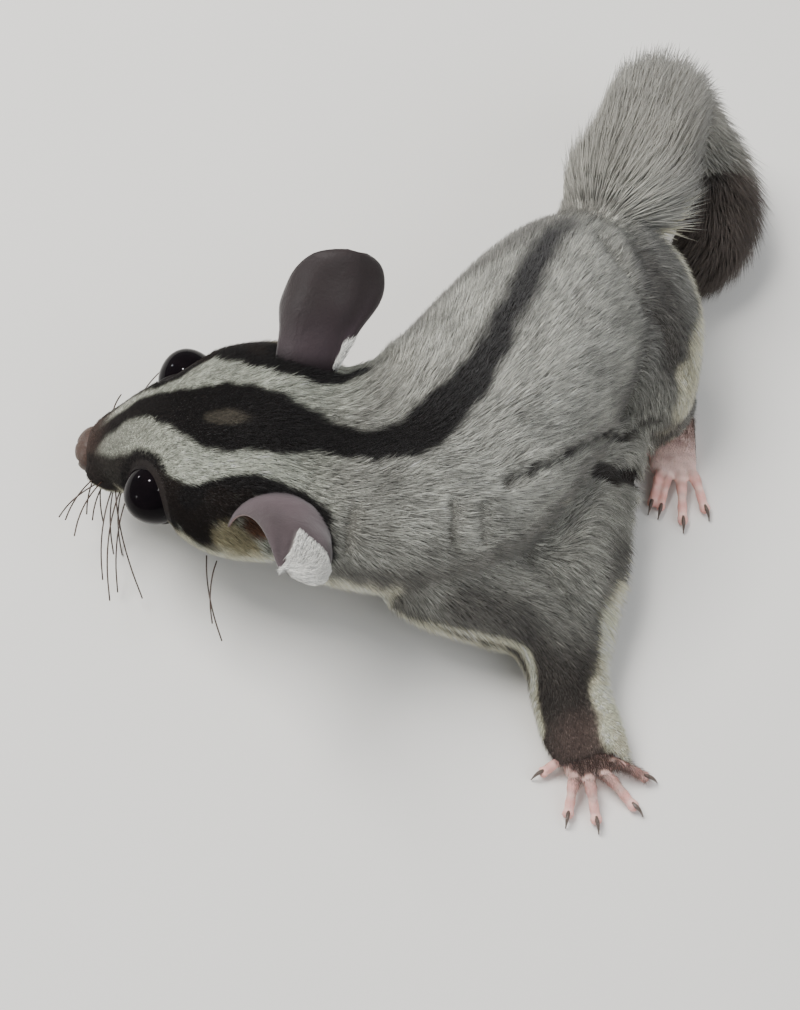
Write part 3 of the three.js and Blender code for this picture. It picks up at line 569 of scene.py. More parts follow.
def markings(points, normals):
    """Colour of the coat at places on the skin, as linear RGB. Each marking is laid over those before it, by
    a share that falls from 1 to 0 over its edge, and a wave makes the edges ragged."""
    h = head_places(points)
    left = left_half(h)
    wave = ripple(points, 5, 3)
    color = np.repeat(PALETTE["back"][None], len(points), 0)

    def lay(name, share):
        color[:] = toward(color, PALETTE[name], np.clip(share, 0, 1))

    # Painted highlight lightening the top of the back, pale head between its stripes, and the darker limbs.
    # A painted highlight: the grey is lightened with height towards the top of the back.
    lay("back_top_highlight", 0.8 * rise(points[:, 2] + 2 * wave, 20, 36) * rise(points[:, 0], -16, 10))
    head = rise(h[:, 0] + 0.8 * wave, -36, -22) * rise(points[:, 0], 2, -10)
    lay("band", head)
    limb = np.maximum(
        rise(points[:, 1] + 0.12 * points[:, 0], -13, -25) * rise(points[:, 0], 4, 14),
        rise(points[:, 2], 13, 6) * rise(points[:, 0], 30, 40) * 0.7,
    )
    lay("limb", 0.9 * limb)
    # The thigh bulge is painted darker, as shade.
    lay("thigh", 0.8 * rise(points[:, 0] + 0.5 * wave, 35, 41) * rise(points[:, 1], 20, 28))
    lay("arm_dark", 0.85 * rise(points[:, 1] + 0.5 * wave, -10, -25) * rise(33 - points[:, 0], 1, 5))
    # Dark lines: painted shade over the mid thigh and in part along the far flank, darker fur in front of
    # the arm and along the membrane.
    for line in DARK_LINES:
        lay("arm_dark", 0.6 * rise(4.8 + 0.4 * wave - gap_to(points, line), 0, 3.6))
    for wrist in WRISTS:
        lay("wrist", 0.75 * rise(8 - np.linalg.norm(points - wrist, axis=1), 0, 5))
    # Tail, the stripe down the middle, and the bald gland within it.
    tail_gap, tail_at = near_line(points, tail_middle)
    on_tail = np.maximum(rise(points[:, 1] - 0.4 * (points[:, 0] - 30), 44, 52),
                         rise(8 - tail_gap, 0, 1) * (tail_at > 0.6 * len(tail_middle)))
    lay("tail", on_tail)
    stripe_gap, at = near_line(points, stripe_line[:, :3])
    half = stripe_line[at, 3]
    fade = 1 - 0.25 * rise(at / len(stripe_line), 0.95, 1.0)
    soft = 1.2 + 1.6 * rise(at / len(stripe_line), 0.6, 0.8)
    lay("stripe", rise(half + 0.35 + soft / 2 + 0.3 * wave - stripe_gap, 0, soft) * fade)
    gland = np.abs(h - GLAND) / [4.1, 1.5, 3]
    lay("gland", 0.8 * rise(1.15 - np.linalg.norm(gland, axis=1), 0, 0.45))
    # Face: muzzle, throat, ring and streak of each eye, arc of each ear, and the cheek.
    lay("muzzle", rise(h[:, 0], 8.5, 13) * 0.95)
    lay("snout", 0.8 * rise(h[:, 0], 12, 14.2))
    lay("patch", 0.95 * rise(h[:, 0], 1, 4) * rise(left[:, 1] - left[:, 2] * 0.5 + 0.3 * wave, 2.6, 4.0))
    low = rise(-h[:, 2], 4.5, 8.5) * head
    lay("throat", low)
    eye_gap = np.linalg.norm((left - EYE_AT) / [1.1, 1, 1.05], axis=1)
    lay("stripe", rise(7.5 + 0.25 * wave - eye_gap, 0, 1.0))
    lay("patch", rise(4.0 + 0.4 * wave - gap_to(left, EYE_BACK), 0, 1.1))
    arc_gap, arc_at = near_line(left + np.where(h[:, 1:2] < 0, [0, 1.2, 0], 0), EAR_ARC)
    arc = 2.0 + 0.5 * (h[:, 1] < 0) + 0.3 * wave - arc_gap
    lay("stripe", rise(arc, 0, 0.8) * np.where((h[:, 1] < 0) & (arc_at > 52), 0, 1))
    for spot, reach, name in (
        ([-14.8, 14.2, 6.6], 3.6, "patch"), ([-19, 13.6, 7.4], 2.8, "patch"),
        ([-21, 15.8, 4.6], 3.4, "rust"), ([-22.4, 17.8, -1.2], 2.6, "patch"),
    ):
        lay(name, rise(reach - np.linalg.norm(left - spot, axis=1), 0, 1.2))
    lay("stripe", rise(3.0 - np.linalg.norm(h - [-17.6, -14, 7], axis=1), 0, 0.9))
    cheek = (left - [-16, 17, 0.6]) / [3.8, 6, 4.6]
    lay("cheek", rise(1.15 - np.linalg.norm(cheek, axis=1), 0, 0.35))
    # Cream belly with its dark border (dark fur and painted shade), painted shade in the folds, and pale
    # edges of thigh, arm and membrane.
    fold_gaps = [gap_to(points, line) for line in fold_lines]
    belly = rise(-normals[:, 2] + 0.06 * wave, 0.02, 0.3) * (1 - on_tail) * rise(np.min(fold_gaps, 0), 2, 4)
    # Darker fur along the lower sides, which also stands for painted shade where the surface turns down and
    # away from the light.
    edge = rise(-normals[:, 2], -0.3, -0.02) * (1 - belly) * (1 - on_tail) * (1 - head)
    lay("arm_dark", 0.55 * edge)
    lay("cream", belly)
    # Painted shade along each fold: the dark of the face patches laid over the crease.
    for fold_gap, (share, half) in zip(fold_gaps, FOLD_SHADES):
        lay("patch", share * rise(half + 0.5 + 0.25 * wave - fold_gap, 0, 0.7))
    lay("cream", 0.85 * rise(3.8 + 0.5 * wave - gap_to(points, THIGH_RIM), 0, 2.0))
    lay("cream", rise(1.5 - gap_to(points, ARM_EDGE), 0, 0.7))
    lay("cream", rise(4.8 + 0.4 * wave - gap_to(points, CREAM_EDGE), 0, 0.8) * rise(points[:, 1], 2, -8))
    tip = rise(tail_at / len(tail_middle) + 0.012 * wave, 0.56, 0.68) * on_tail
    lay("tail_tip", tip)
    color *= 1 + 0.1 * ripple(points, 9, 5)[:, None] + 0.07 * wave[:, None]
    return np.clip(color, 0.002, 1)


def paint(piece, colors):
    """Puts a colour at each point of a piece, as the attribute that its material reads."""
    layer = piece.data.color_attributes.new("coat", "FLOAT_COLOR", "POINT")
    flat = np.ones((len(colors), 4), np.float32)
    flat[:, :3] = colors
    layer.data.foreach_set("color", flat.ravel())


skin = mesh_piece("skin", skin_points, skin_quads)
paint(skin, 0.55 * markings(skin_points, skin_normals))
skin_finish = Finish("skin_under_fur", Roughness=0.85, Specular_IOR_Level=0.2)
skin_grain = skin_finish.noise(0.5, 4)
skin_finish.set(Base_Color=skin_finish.between(
    skin_grain, skin_finish.add("Attribute", {"attribute_name": "coat"}), "2a2523"))
skin_finish.bumps(skin_grain, 0.25, 0.7)
skin_finish.on(skin, "grey_fur")
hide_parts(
    "head", "neck", "chest", "hips", "lower_jaw", "thigh_left", "shank_left", "upper_arm_left",
    "forearm_left", "thigh_right", "shank_right", "upper_arm_right", "forearm_right",
    "gliding_skin_left", "gliding_skin_right", "tail_root", "tail_arch", "tail_turn", "tail_tip",
)


def unwrapped(piece, quads):
    """Unwraps a piece by its own shape into the map OFBake, and gives the four map places of each quad."""
    bpy.ops.object.select_all(action="DESELECT")
    bpy.context.view_layer.objects.active = piece
    piece.select_set(True)
    piece.data.uv_layers.new(name="OFBake")
    bpy.ops.object.mode_set(mode="EDIT")
    bpy.ops.mesh.select_all(action="SELECT")
    bpy.ops.uv.smart_project(angle_limit=math.radians(66), island_margin=0.002)
    bpy.ops.object.mode_set(mode="OBJECT")
    uv = np.empty(quads.size * 2, np.float32)
    piece.data.uv_layers["OFBake"].data.foreach_get("uv", uv)
    return uv.reshape(-1, 4, 2)


skin_uv = unwrapped(skin, skin_quads)

# Coat.
# Short dense fur over the whole skin: thin tapered tufts that rise a little from their roots and bend
# back down along the body, finest on the muzzle and longest on the flanks and belly.
GUIDES = []  # [x, y, z, radius, way the fur lies, part of the body]
parts = ["trunk", "head", *LIMBS, "tail"]
lines = {"trunk": TRUNK, "head": head_line(SKULL), **LIMBS, "tail": [[*row, row[3], row[3]] for row in TAIL]}
for number, part in enumerate(parts):
    t, rows, forward, _, _ = carried(lines[part], 3 * len(lines[part]), HEAD_Z if part == "head" else UP)
    radius = rows[:, 3:6].mean(1) * (np.interp(t, range(len(TAIL)), TAIL_CORE) if part == "tail" else 1)
    forward = -forward if part == "head" else forward
    GUIDES.append(np.column_stack([rows[:, :3], radius, forward, np.full(len(t), number)]))
for number, (inner, outer, _) in enumerate(MEMBRANES.values()):
    root, edge = smooth_line(inner, 16), smooth_line(outer, 16)
    on = unit(np.gradient(edge, axis=0)) * [[-0.2], [0.5]][number]
    GUIDES.append(np.column_stack([
        0.35 * root + 0.65 * edge, np.full(16, 4.5), unit(unit(edge - root) + on), np.full(16, len(parts)),
    ]))
GUIDES = np.concatenate(GUIDES)


def lie_of_coat(points, normals):
    """The way that the fur lies at each place, square to its normal, and the number of the part it is on:
    the mean of the guides' ways, each weighed by exp(-7 (its gap / its radius - the least)), and a share of
    the way down."""
    reach = np.empty((len(points), len(GUIDES)), np.float32)
    for k, guide in enumerate(GUIDES):
        reach[:, k] = np.linalg.norm(points - guide[:3], axis=1) / (guide[3] + 1.5)
    nearest = reach.argmin(1)
    weight = np.exp(-7 * (reach - reach[np.arange(len(points)), nearest][:, None]))
    way = unit(weight @ GUIDES[:, 4:7])
    h = head_places(points)
    past_eye = left_half(h) - EYE_AT
    round_eye = np.exp(-((np.linalg.norm(past_eye, axis=1) / 8) ** 2))[:, None]
    past_eye[:, 1] *= np.sign(h[:, 1])
    way = way + 0.9 * round_eye * unit(past_eye @ HEAD_AXES) - [0, 0, 0.32]
    way = way + 0.16 * np.stack([ripple(points, 14, k) for k in (11, 12, 13)], -1)
    way = way - normals * (way * normals).sum(1)[:, None]
    return unit(way), GUIDES[nearest, 7].astype(int)


MAP_PATCH = 0.003  # side of a tuft's patch on the map, round the place of its root


def tuft_mesh(name, roots, normals, ways, length, width, lift, bend, colors, tips, uv, shares):
    """Closed three-sided spikes. At share s of its length a tuft's middle is
    root + way length s + normal length lift (s - bend s^2) - a little at the root, and its half width
    is width (1 - s) ^ 0.7 / 2; its colour goes from a dark root to the tip's."""
    n, k = len(roots), len(shares)
    side = np.cross(normals, ways)
    rings, shade = [], []
    for s in shares:
        middle = roots + ways * (length * s)[:, None]
        middle = middle + normals * (length * lift * (s - bend * s * s) - (0.25 if s == 0 else 0))[:, None]
        half = (width * (0.8 if s == 0 else 1) * (1 - s) ** 0.7 / 2)[:, None]
        rings += [middle - side * half, middle + side * half, middle + normals * half * 0.9]
        shade += [s, s, s]
    end = roots + ways * length[:, None] + normals * (length * lift * (1 - bend))[:, None]
    points = np.stack([*rings, end], 1)
    points[..., 2] = np.maximum(points[..., 2], 0.02)
    shade = np.array([*shade, 1.0])
    base = (np.arange(n) * (3 * k + 1))[:, None]
    quads = [[a, b, b + 3, a + 3] for ring in range(k - 1) for a, b in
             ((3 * ring, 3 * ring + 1), (3 * ring + 1, 3 * ring + 2), (3 * ring + 2, 3 * ring))]
    top = 3 * (k - 1)
    ends = [[0, 2, 1], [top, top + 1, 3 * k], [top + 1, top + 2, 3 * k], [top + 2, top, 3 * k]]
    faces = [(base[:, None] + np.array(f)).reshape(-1, len(f[0])) for f in (quads, ends) if f]
    piece = mesh_piece(name, points.reshape(-1, 3), *faces)
    ramp = (0.55 + 0.45 * np.minimum(1, shade * 1.8 + (0.5 if k == 1 else 0)))[None, :, None]
    at_tip = shade[None, :, None] ** 2
    paint(piece, (colors[:, None] * ramp * (1 - at_tip) + tips[:, None] * at_tip).reshape(-1, 3))
    across = np.array([-0.5, 0.5, 0] * k + [0])
    spots = uv[:, None] + np.stack([across, shade - 0.5], -1)[None] * MAP_PATCH
    layer = piece.data.uv_layers.new(name="OFBake")
    corners = np.concatenate([f.ravel() for f in faces])
    layer.data.foreach_set("uv", spots.reshape(-1, 2)[corners].astype(np.float32).ravel())
    return piece


chance = np.random.default_rng(20)
middle = skin_points[skin_quads].mean(1)
middle_normal = unit(skin_normals[skin_quads].sum(1))
_, quad_part = lie_of_coat(middle, middle_normal)


def fur_length(points, normals):
    """Length of the fur in millimetres: 0.8 on the muzzle to 2.4 on the back, and short at wrists, ankles,
    folds and the bald gland."""
    h = head_places(points)
    face = np.interp(h[:, 0], [-34, -22, -10, 4, 14], [2.4, 2.1, 1.8, 1.3, 0.8])
    length = np.where((h[:, 0] > -34) & (points[:, 0] < 0), face, 2.4)
    for joint in (*WRISTS, *ANKLES):
        length = length * (0.34 + 0.66 * rise(np.linalg.norm(points - joint, axis=1), 2, 20))
    fold_gap = np.min([gap_to(points, line) for line in fold_lines], 0)
    length = length * (0.45 + 0.55 * rise(fold_gap, 0.3, 2.4))
    bald = np.abs(h - GLAND) / [4, 1.4, 3]
    return length * (0.5 + 0.5 * rise(np.linalg.norm(bald, axis=1), 0.6, 1.5))


NOSE_AT = np.array([15.2, 0.6, -3.6])  # middle of the nose pad in the head's frame


def is_bare(points):
    """True where no fur grows: on the nose, round the eyeball and on the line of the mouth."""
    h = head_places(points)
    left = left_half(h)
    eye = np.linalg.norm(left - EYE_AT, axis=1) < EYE_RADIUS + 0.7
    nose = np.linalg.norm((h - NOSE_AT) / [2.9, 4.1, 3.2], axis=1) < 1.04
    return eye | nose | (gap_to(left, mouth_line) < 0.35)


def area_of(points, quads):
    """Half the cross product of each quad's diagonals."""
    p = points[quads]
    return np.linalg.norm(np.cross(p[:, 2] - p[:, 0], p[:, 3] - p[:, 1]), axis=1) / 2


def sown(tufts_per_mm2, points=skin_points, quads=skin_quads, normals=skin_normals, places=skin_uv):
    """Roots spread over a surface, as points, normals and map places: each quad gets tufts in step with
    its area and its density, at random spots between its corners."""
    weight = area_of(points, quads) * tufts_per_mm2
    total = int(weight.sum() * (1))
    reach = np.cumsum(weight)
    spot = (np.arange(total) + chance.random(total)) * reach[-1] / max(total, 1)
    quad = np.minimum(np.searchsorted(reach, spot), len(reach) - 1)
    a, b = chance.random((2, total, 1))
    shares = np.stack([(1 - a) * (1 - b), a * (1 - b), a * b, (1 - a) * b], 1)
    corners = quads[quad]
    normal = unit((normals[corners] * shares).sum(1))
    return (points[corners] * shares).sum(1), normal, (places[quad] * shares).sum(1)


coat_finish = Finish("fur", Roughness=0.65, Specular_IOR_Level=0.22, Sheen_Weight=0.12, Sheen_Roughness=0.5)
coat_color = coat_finish.add("Attribute", {"attribute_name": "coat"})
strand = coat_finish.noise(0.22, 2)
coat_finish.set(Base_Color=coat_finish.between(strand * 0.35, coat_color, "1c1816"))
coat_finish.bumps(strand, 0.05, 0.6)


def short_coat(name, mask, density, shares=(0.0,), lift=0.5, stretch=1.0, broad=1.0):
    """Sows, colours and shapes the tufts of one part of the body."""
    roots, normals, uv = sown(np.where(mask, density, 0))
    keep = ~is_bare(roots)
    roots, normals, uv = roots[keep], normals[keep], uv[keep]
    ways, _ = lie_of_coat(roots, normals)
    jitter = chance.normal(0, 0.13, (len(roots), 1))
    ways = unit(ways + np.cross(normals, ways) * jitter)
    length = stretch * fur_length(roots, normals) * chance.uniform(0.75, 1.2, len(roots))
    width = (0.13 + 0.035 * length) * broad
    colors = markings(roots, normals)
    light = np.exp(chance.normal(0, 0.075, len(roots)) * length)[:, None]
    fleck = chance.random(len(roots))[:, None]
    grain = 1 + 0.28 * ripple(roots, 1.2, 31)[:, None] * (colors.mean(1, keepdims=True) > 0.03)
    colors = np.clip(colors * light * grain, 0, 1)
    tone = colors.mean(1, keepdims=True)
    grey = (tone > 0.05) & (tone < 0.7)  # pepper and salt in the grey, not in the black or the cream
    tips = np.where((fleck < 0.3) & grey, colors * 1.5, colors)
    tips = np.where((fleck > 0.8) & grey, colors * 0.35, tips)
    steep = lift * chance.uniform(0.6, 1.4, len(roots))
    bend = 0.25 if len(shares) == 1 else 0.6
    tips = np.clip(tips, 0, 1)
    piece = tuft_mesh(name, roots, normals, ways, length, width, steep, bend, colors, tips, uv, shares)
    coat_finish.on(piece, "grey_fur")


is_trunk, is_head, is_tail, is_sheet = (quad_part == n for n in (0, 1, parts.index("tail"), len(parts)))
is_left_limb, is_right_limb = np.isin(quad_part, [2, 4, 5]), np.isin(quad_part, [3, 6, 7])
head_front, head_out, _ = head_places(middle).T
on_left = head_out > 0
under = middle_normal[:, 2] < -0.35
on_floor_share = np.where(middle[:, 2] < 0.8, 0.25, 1.0)  # thinner where the body presses on the floor
face_share = rise(head_front, -22, -9)
FACE_TUFTS, BODY_TUFTS, GUARD_HAIRS = 30, 17, 0.9  # to a square millimetre
short_coat("coat_face_left", is_head & on_left, FACE_TUFTS * face_share, lift=0.3)
short_coat("coat_face_right", is_head & ~on_left, FACE_TUFTS * face_share, lift=0.3)
short_coat("coat_nape", is_head, np.where(under, 8, BODY_TUFTS) * (1 - face_share) * on_floor_share)
dense = np.where(under, 5, BODY_TUFTS) * on_floor_share
slant = middle[:, 1] + 0.5 * middle[:, 0]
short_coat("coat_shoulders", is_trunk & (slant < 5), dense)
short_coat("coat_back", is_trunk & (slant >= 5) & (slant < 27), dense)
short_coat("coat_rump", is_trunk & (slant >= 27), dense)
short_coat("coat_limbs_left", is_left_limb, dense)
short_coat("coat_limbs_right", is_right_limb, dense)
short_coat("coat_gliding_membranes", is_sheet, np.where(under, 7, BODY_TUFTS) * on_floor_share)
short_coat("coat_guard_hairs", ~is_tail & ~under, GUARD_HAIRS * (1 - face_share), shares=(0.0, 0.5),
           stretch=1.2, broad=0.75)

# Tail.
# A full round brush: soft hair as long as the tail is wide leaves the core at a slant, sweeps back and
# bends in again at its tips, grey over most of the length and black-brown at the end.
TAIL_SPLIT = 0.45  # share of the tail's length where one piece of fur ends and the next begins
_, nearest = near_line(middle, tail_middle)
past_split = nearest / (len(tail_middle) - 1) >= TAIL_SPLIT
for name, here, density in (
    ("coat_tail_base", is_tail & ~past_split, 15.0), ("coat_tail_end", is_tail & past_split, 14.0),
):
    roots, normals, uv = sown(np.where(here, density, 0))
    ways, _ = lie_of_coat(roots, normals)
    gap, at = near_line(roots, tail_middle)
    stations = np.linspace(0, 1, len(TAIL))
    tail_radius = np.interp(at / (len(tail_middle) - 1), stations, [row[3] for row in TAIL])
    wisp = chance.normal(0, 0.12, (len(roots), 1))
    ways = unit(ways + np.cross(normals, ways) * wisp)
    full_length = np.clip(0.95 * tail_radius, 3, 12)
    length = full_length * chance.uniform(0.5, 1.15, len(roots))
    reach_out = np.maximum(tail_radius - gap, 1.0)
    lift = 1.75 * reach_out / full_length * chance.uniform(0.7, 1.1, len(roots))
    colors = markings(roots, normals)
    colors = np.clip(colors * np.exp(chance.normal(0, 0.13, len(roots)))[:, None], 0, 1)
    width = np.full(len(roots), 0.28)
    tips = np.clip(colors * 1.12, 0, 1)
    tail_fur = tuft_mesh(name, roots, normals, ways, length, width, lift, 0.5, colors, tips, uv, (0.0, 0.45))
    coat_finish.on(tail_fur, "grey_fur")

# Lids.
# A narrow black rim of bare skin holds each eye, a little longer towards the ear than it is high. It lies
# close on the ball as a low soft roll, and its outer edge runs in under the fur.
LID_OPENING, LID_END = math.radians(80), math.radians(114)  # from the way the eye looks


def lid(side, around=72, across=14):
    """A closed band on the eyeball: at angle a from the line of sight and turn b round it, the point is
    centre + r (cos a look + sin a (cos b back + sin b up)). As s goes from 0 to 1, a goes from the opening
    to the end. Outside, r is R (1.01 + 0.07 sin(pi min(1, 1.15 s)) ^ 0.8), and inside R (0.97 - 0.06 s)."""
    look = unit(EYE_LOOK * [1, side, 1])
    back = unit(np.cross(np.cross(look, [-1, 0, 0.25]), look))
    top = np.cross(look, back)
    b = np.linspace(0, 2 * math.pi, around, endpoint=False)[:, None]
    s = np.linspace(0, 1, across)[None]
    opening = LID_OPENING + 0.07 * np.cos(2 * b) + 0.05 * np.exp(-((b - math.pi) ** 2) * 6)
    a = opening + (LID_END - opening) * s
    outer = EYE_RADIUS * (1.01 + 0.07 * np.sin(math.pi * np.minimum(1, 1.15 * s)) ** 0.8)
    inner = EYE_RADIUS * (0.97 - 0.06 * s)

    def spots(radius, angle):
        ring = np.sin(angle)[..., None] * (np.cos(b)[..., None] * back + np.sin(b)[..., None] * top)
        return radius[..., None] * (np.cos(angle)[..., None] * look + ring)

    loop = np.concatenate([spots(outer, a), spots(inner + 0 * a, a)[:, ::-1]], 1)
    points = in_head(EYE_AT * [1, side, 1] + loop)
    n, m = points.shape[:2]
    i, j = np.meshgrid(np.arange(n), np.arange(m), indexing="ij")
    on, up = (i + 1) % n, (j + 1) % m
    quads = np.stack([i * m + j, i * m + up, on * m + up, on * m + j], -1).reshape(-1, 4)
    return points.reshape(-1, 3), quads


lid_finish = Finish("lid_rim", Roughness=0.6, Specular_IOR_Level=0.15)
lid_grain = lid_finish.noise(0.35, 3)
lid_finish.set(Base_Color=lid_finish.between(lid_grain, "090707", "1a1413"))
lid_finish.bumps(lid_grain, 0.08, 0.6)
for side, word in ((1, "left"), (-1, "right")):
    points, quads = lid(side)
    a, b, c, _ = points[quads].transpose(1, 0, 2)
    volume = ((a - points.mean(0)) * np.cross(b - a, c - a)).sum()  # below 0 if the faces look inwards
    rim = mesh_piece("lids_" + word, points, quads if volume > 0 else quads[:, ::-1].copy())
    lid_finish.on(rim, "dark_fur")

# Ears.
# A thin bare leaf of grey-purple skin, rolled into a cup at its wide root and flatter to its round tip,
# with faint ribs and veins. The left one is seen from behind with its front edge folded in.
EAR = [  # [share of the length, share of the width, angle of the roll in radians]
    [0, 1, 1.05], [0.2, 1, 1.05], [0.45, 1, 1], [0.7, 0.95, 0.88], [0.88, 0.74, 0.75], [0.96, 0.48, 0.65],
    [1, 0.2, 0.55],
]
EAR_LENGTH, EAR_WIDTH, EAR_THICKNESS = 19.5, 17.0, 0.55
EARS = {  # root, line from root to tip and way that it opens, in the head's frame; sign of u on the front
    # half; rows [share of the length, front margin, rear margin] as shares of the half width; colours of the
    # back near the root and over the rest
    "left": (
        [-27.8, 11.6, 4.6], [-0.23, 0.82, 0.52], [0.55, 0.45, -0.7], -1,
        [[0, 1.75, 0.85], [0.12, 1.5, 0.88], [0.3, 1.05, 0.92], [0.5, 0.74, 0.98], [0.8, 0.4, 1],
         [1, 0.2, 1]],
        "5c5054", "463d3f",
    ),
    "right": (
        [-26, -11.4, 4.8], [-0.3, -0.76, 0.58], [0.66, -0.46, -0.56], 1,
        [[0, 0.95, 0.22], [0.2, 1.12, 0.24], [0.4, 1.32, 0.42], [0.6, 1.3, 0.72], [0.8, 1.2, 0.88],
         [1, 1.1, 1]],
        # These colours paint the right ear darker than the left, as shade on the same leather.
        "40363a", "2a2424",
    ),
}


def ear_places(word, s, u, offset):
    """Places on an ear: s from root to tip, u from -1 to 1 across, o off its inner face. With w and a the
    width and roll at s, r = width w / 2 a, and angle = a u times the margin's share, it is
    root + axis L s + across (r + o) sin(angle) + facing (r - (r + o) cos(angle) - 1.8 sin(pi s))."""
    root, line, opening, front, margins, _, _ = EARS[word]
    axis = unit(line)
    facing = unit(np.array(opening) - axis * np.dot(opening, axis))
    across = np.cross(axis, facing)
    width, roll = np.moveaxis(along(EAR, np.clip(s, 0, 1)), -1, 0)
    radius = EAR_WIDTH * width / 2 / roll
    to_front, to_rear = np.moveaxis(along(margins, np.clip(s, 0, 1)), -1, 0)
    angle = roll * u * np.where(u * front > 0, to_front, to_rear)
    ribs = 0.13 * np.sin(9 * u + 3 * s) * np.sin(math.pi * np.clip(s, 0, 1)) + 0.12 * np.sin(14 * s + 2 * u)
    far = radius + offset + ribs
    place = np.array(root) + axis * (EAR_LENGTH * s)[..., None] + across * (far * np.sin(angle))[..., None]
    lean = radius - far * np.cos(angle) - 1.8 * np.sin(math.pi * np.clip(s, 0, 1))
    return in_head(place + facing * lean[..., None])


ear_finish = Finish("ear_leather", Roughness=0.5, Specular_IOR_Level=0.25)
ear_finish.set(Sheen_Weight=0.2, Sheen_Roughness=0.4)
ear_color = ear_finish.add("Attribute", {"attribute_name": "coat"})
drawn_out = ear_finish.places((1, 1, 0.4))
vein = ear_finish.add("TexNoise", Vector=drawn_out, Scale=420.0, Detail=4.0, Distortion=1.2)
pore = ear_finish.noise(0.35, 3)
ear_finish.set(Base_Color=ear_finish.between((vein - 0.45) * 1.6 * 0.35 + 0.1, ear_color, "2c2022"))
ear_finish.bumps(vein * 0.7 + pore * 0.3, 0.22, 0.8)
for word, (_, _, _, front, _, root_code, tip_code) in EARS.items():
    rows, columns = 44, 30
    s = np.repeat(np.linspace(-0.12, 1, rows)[:, None], columns + 1, 1)
    u = np.repeat(np.linspace(-1, 1, columns + 1)[None], rows, 0)
    thick = EAR_THICKNESS * (1.25 - 0.75 * np.clip(s, 0, 1)) * (1 - 0.45 * np.abs(u) ** 4)
    inside, outside = ear_places(word, s, u, 0.0), ear_places(word, s, u, thick)
    points, quads, fans = ring_shell(np.concatenate([inside, outside[:, ::-1]], 1))
    ear = mesh_piece("ear_leaf_" + word, points, quads, fans)
    reach = np.clip(np.repeat(s[:, :1], 2 * columns + 2, 1).ravel(), 0, 1)
    spread = np.concatenate([u, u[:, ::-1]], 1).ravel() * front
    back = np.concatenate([0 * u, 1 + 0 * u], 1).ravel()
    outer_tone = toward(linear(root_code), linear(tip_code), rise(reach + 0.25 * spread, 0.15, 0.75))
    inner_tone = toward(linear("85605a"), linear("4a3c3e"), rise(reach, 0.15, 0.7))
    tone = np.where(back[:, None] > 0.5, outer_tone, inner_tone)
    tone = tone * (0.25 + 0.75 * rise(reach, -0.05, 0.16)[:, None])
    if word == "left":
        tone = tone * (1 - 0.5 * rise(-spread, 0.3, 0.95))[:, None]
        tone = toward(tone, linear("f0eee6"), rise(reach, 0.56, 0.68) * rise(-spread, -0.02, 0.12) * back)
    paint(ear, np.concatenate([tone, tone[[0, -1]]]))
    ear_finish.on(ear, "ear_leather")
    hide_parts("ear_" + word)

# Nose.
# A small moist pink-brown pad with a groove down its middle and a comma of a nostril on each side.
NOSTRIL = [[17.7, 1.6, -3.4, 0.6], [17.1, 2.4, -3.1, 0.5], [16.3, 3, -2.7, 0.4]]  # place and radius
pad_points, pad_quads, pad_fans = globe(NOSE_AT, [2.7, 4.0, 3.1], 60, 72)
pad = head_places(pad_points)
for side in (1, -1):
    for forward, out, height, radius in NOSTRIL:
        gap = np.linalg.norm(pad - [forward, NOSE_AT[1] + side * out, height], axis=1)
        pad = pad - np.array([0.85, side * 0.25, 0]) * np.exp(-((gap / radius) ** 2))[:, None]
groove = np.exp(-(((pad[:, 1] - NOSE_AT[1]) / 0.28) ** 2)) * rise(pad[:, 0], 16, 17.5)
pad = pad - np.array([0.35, 0, 0]) * groove[:, None]
nose = mesh_piece("nose_pad", in_head(pad), pad_quads, pad_fans)
nose_finish = Finish("moist_nose", Roughness=0.45, Specular_IOR_Level=0.35, Subsurface_Weight=0.05)
nose_finish.shader.inputs["Subsurface Scale"].default_value = 0.001
pebble = nose_finish.add("TexVoronoi", Vector=nose_finish.places(), Scale=2600.0)
nose_finish.set(Base_Color=nose_finish.between(nose_finish.noise(1.2, 3), "513f35", "362924"))
nose_finish.bumps(pebble, 0.09, 0.7)
nose_finish.on(nose, "nose_leather")
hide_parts("nose")

# Paws.
# Bare pink skin: a soft sole, slim jointed digits with a round pad at each end, and the hind foot's
# stout thumb without a claw. Creases cross the joints, and the knuckles and pads are flushed redder.
DOWN = -math.pi / 2
FORE_DIGITS = [  # place along and across the sole as shares of it, length, and spread in radians
    [0.42, 0.34, 5.2, 1.25], [0.9, 0.32, 6.8, 0.36], [0.97, 0.09, 7.6, 0], [0.93, -0.16, 7.8, -0.6],
    [0.72, -0.38, 6.4, -1.05],
]
HIND_DIGITS = [
    [0.5, 0.3, 5.6, 1.2], [0.93, 0.26, 6.4, 0.2], [0.95, 0.08, 6.8, 0.16], [0.95, -0.16, 9, -0.1],
    [0.86, -0.36, 8, -0.4],
]
PAWS = {  # node: place, heading, inner side, spread, length, width and height of the sole, digits
    "fore_foot_left": ([29, -32.2], DOWN + 0.16, -1, 1.0, [6.2, 8.2, 4.4], FORE_DIGITS),
    "fore_foot_right": ([-7, 29.8], math.pi - 0.05, 1, 0.85, [6.2, 8.2, 4.4], FORE_DIGITS),
    "hind_foot_left": ([47.6, 28], DOWN - 0.1, -1, 1.0, [12, 8, 4.6], HIND_DIGITS),
    "hind_foot_right": ([14.6, 46.6], math.pi + 0.7, 1, 1.0, [12, 8, 4.6], HIND_DIGITS),
}


def on_floor(angle):
    """The level way (cos angle, sin angle, 0)."""
    return np.array([math.cos(angle), math.sin(angle), 0])


def paw_shares(spots, shape):
    """Places on a paw as a share of its length, forwards, and of its width, to its inner side."""
    place, heading, inner, _, (length, width, _), _ = shape
    forward = on_floor(heading)
    spots = spots - [*place, 0]
    return spots @ forward / length, spots @ np.cross(UP, forward) * inner / width


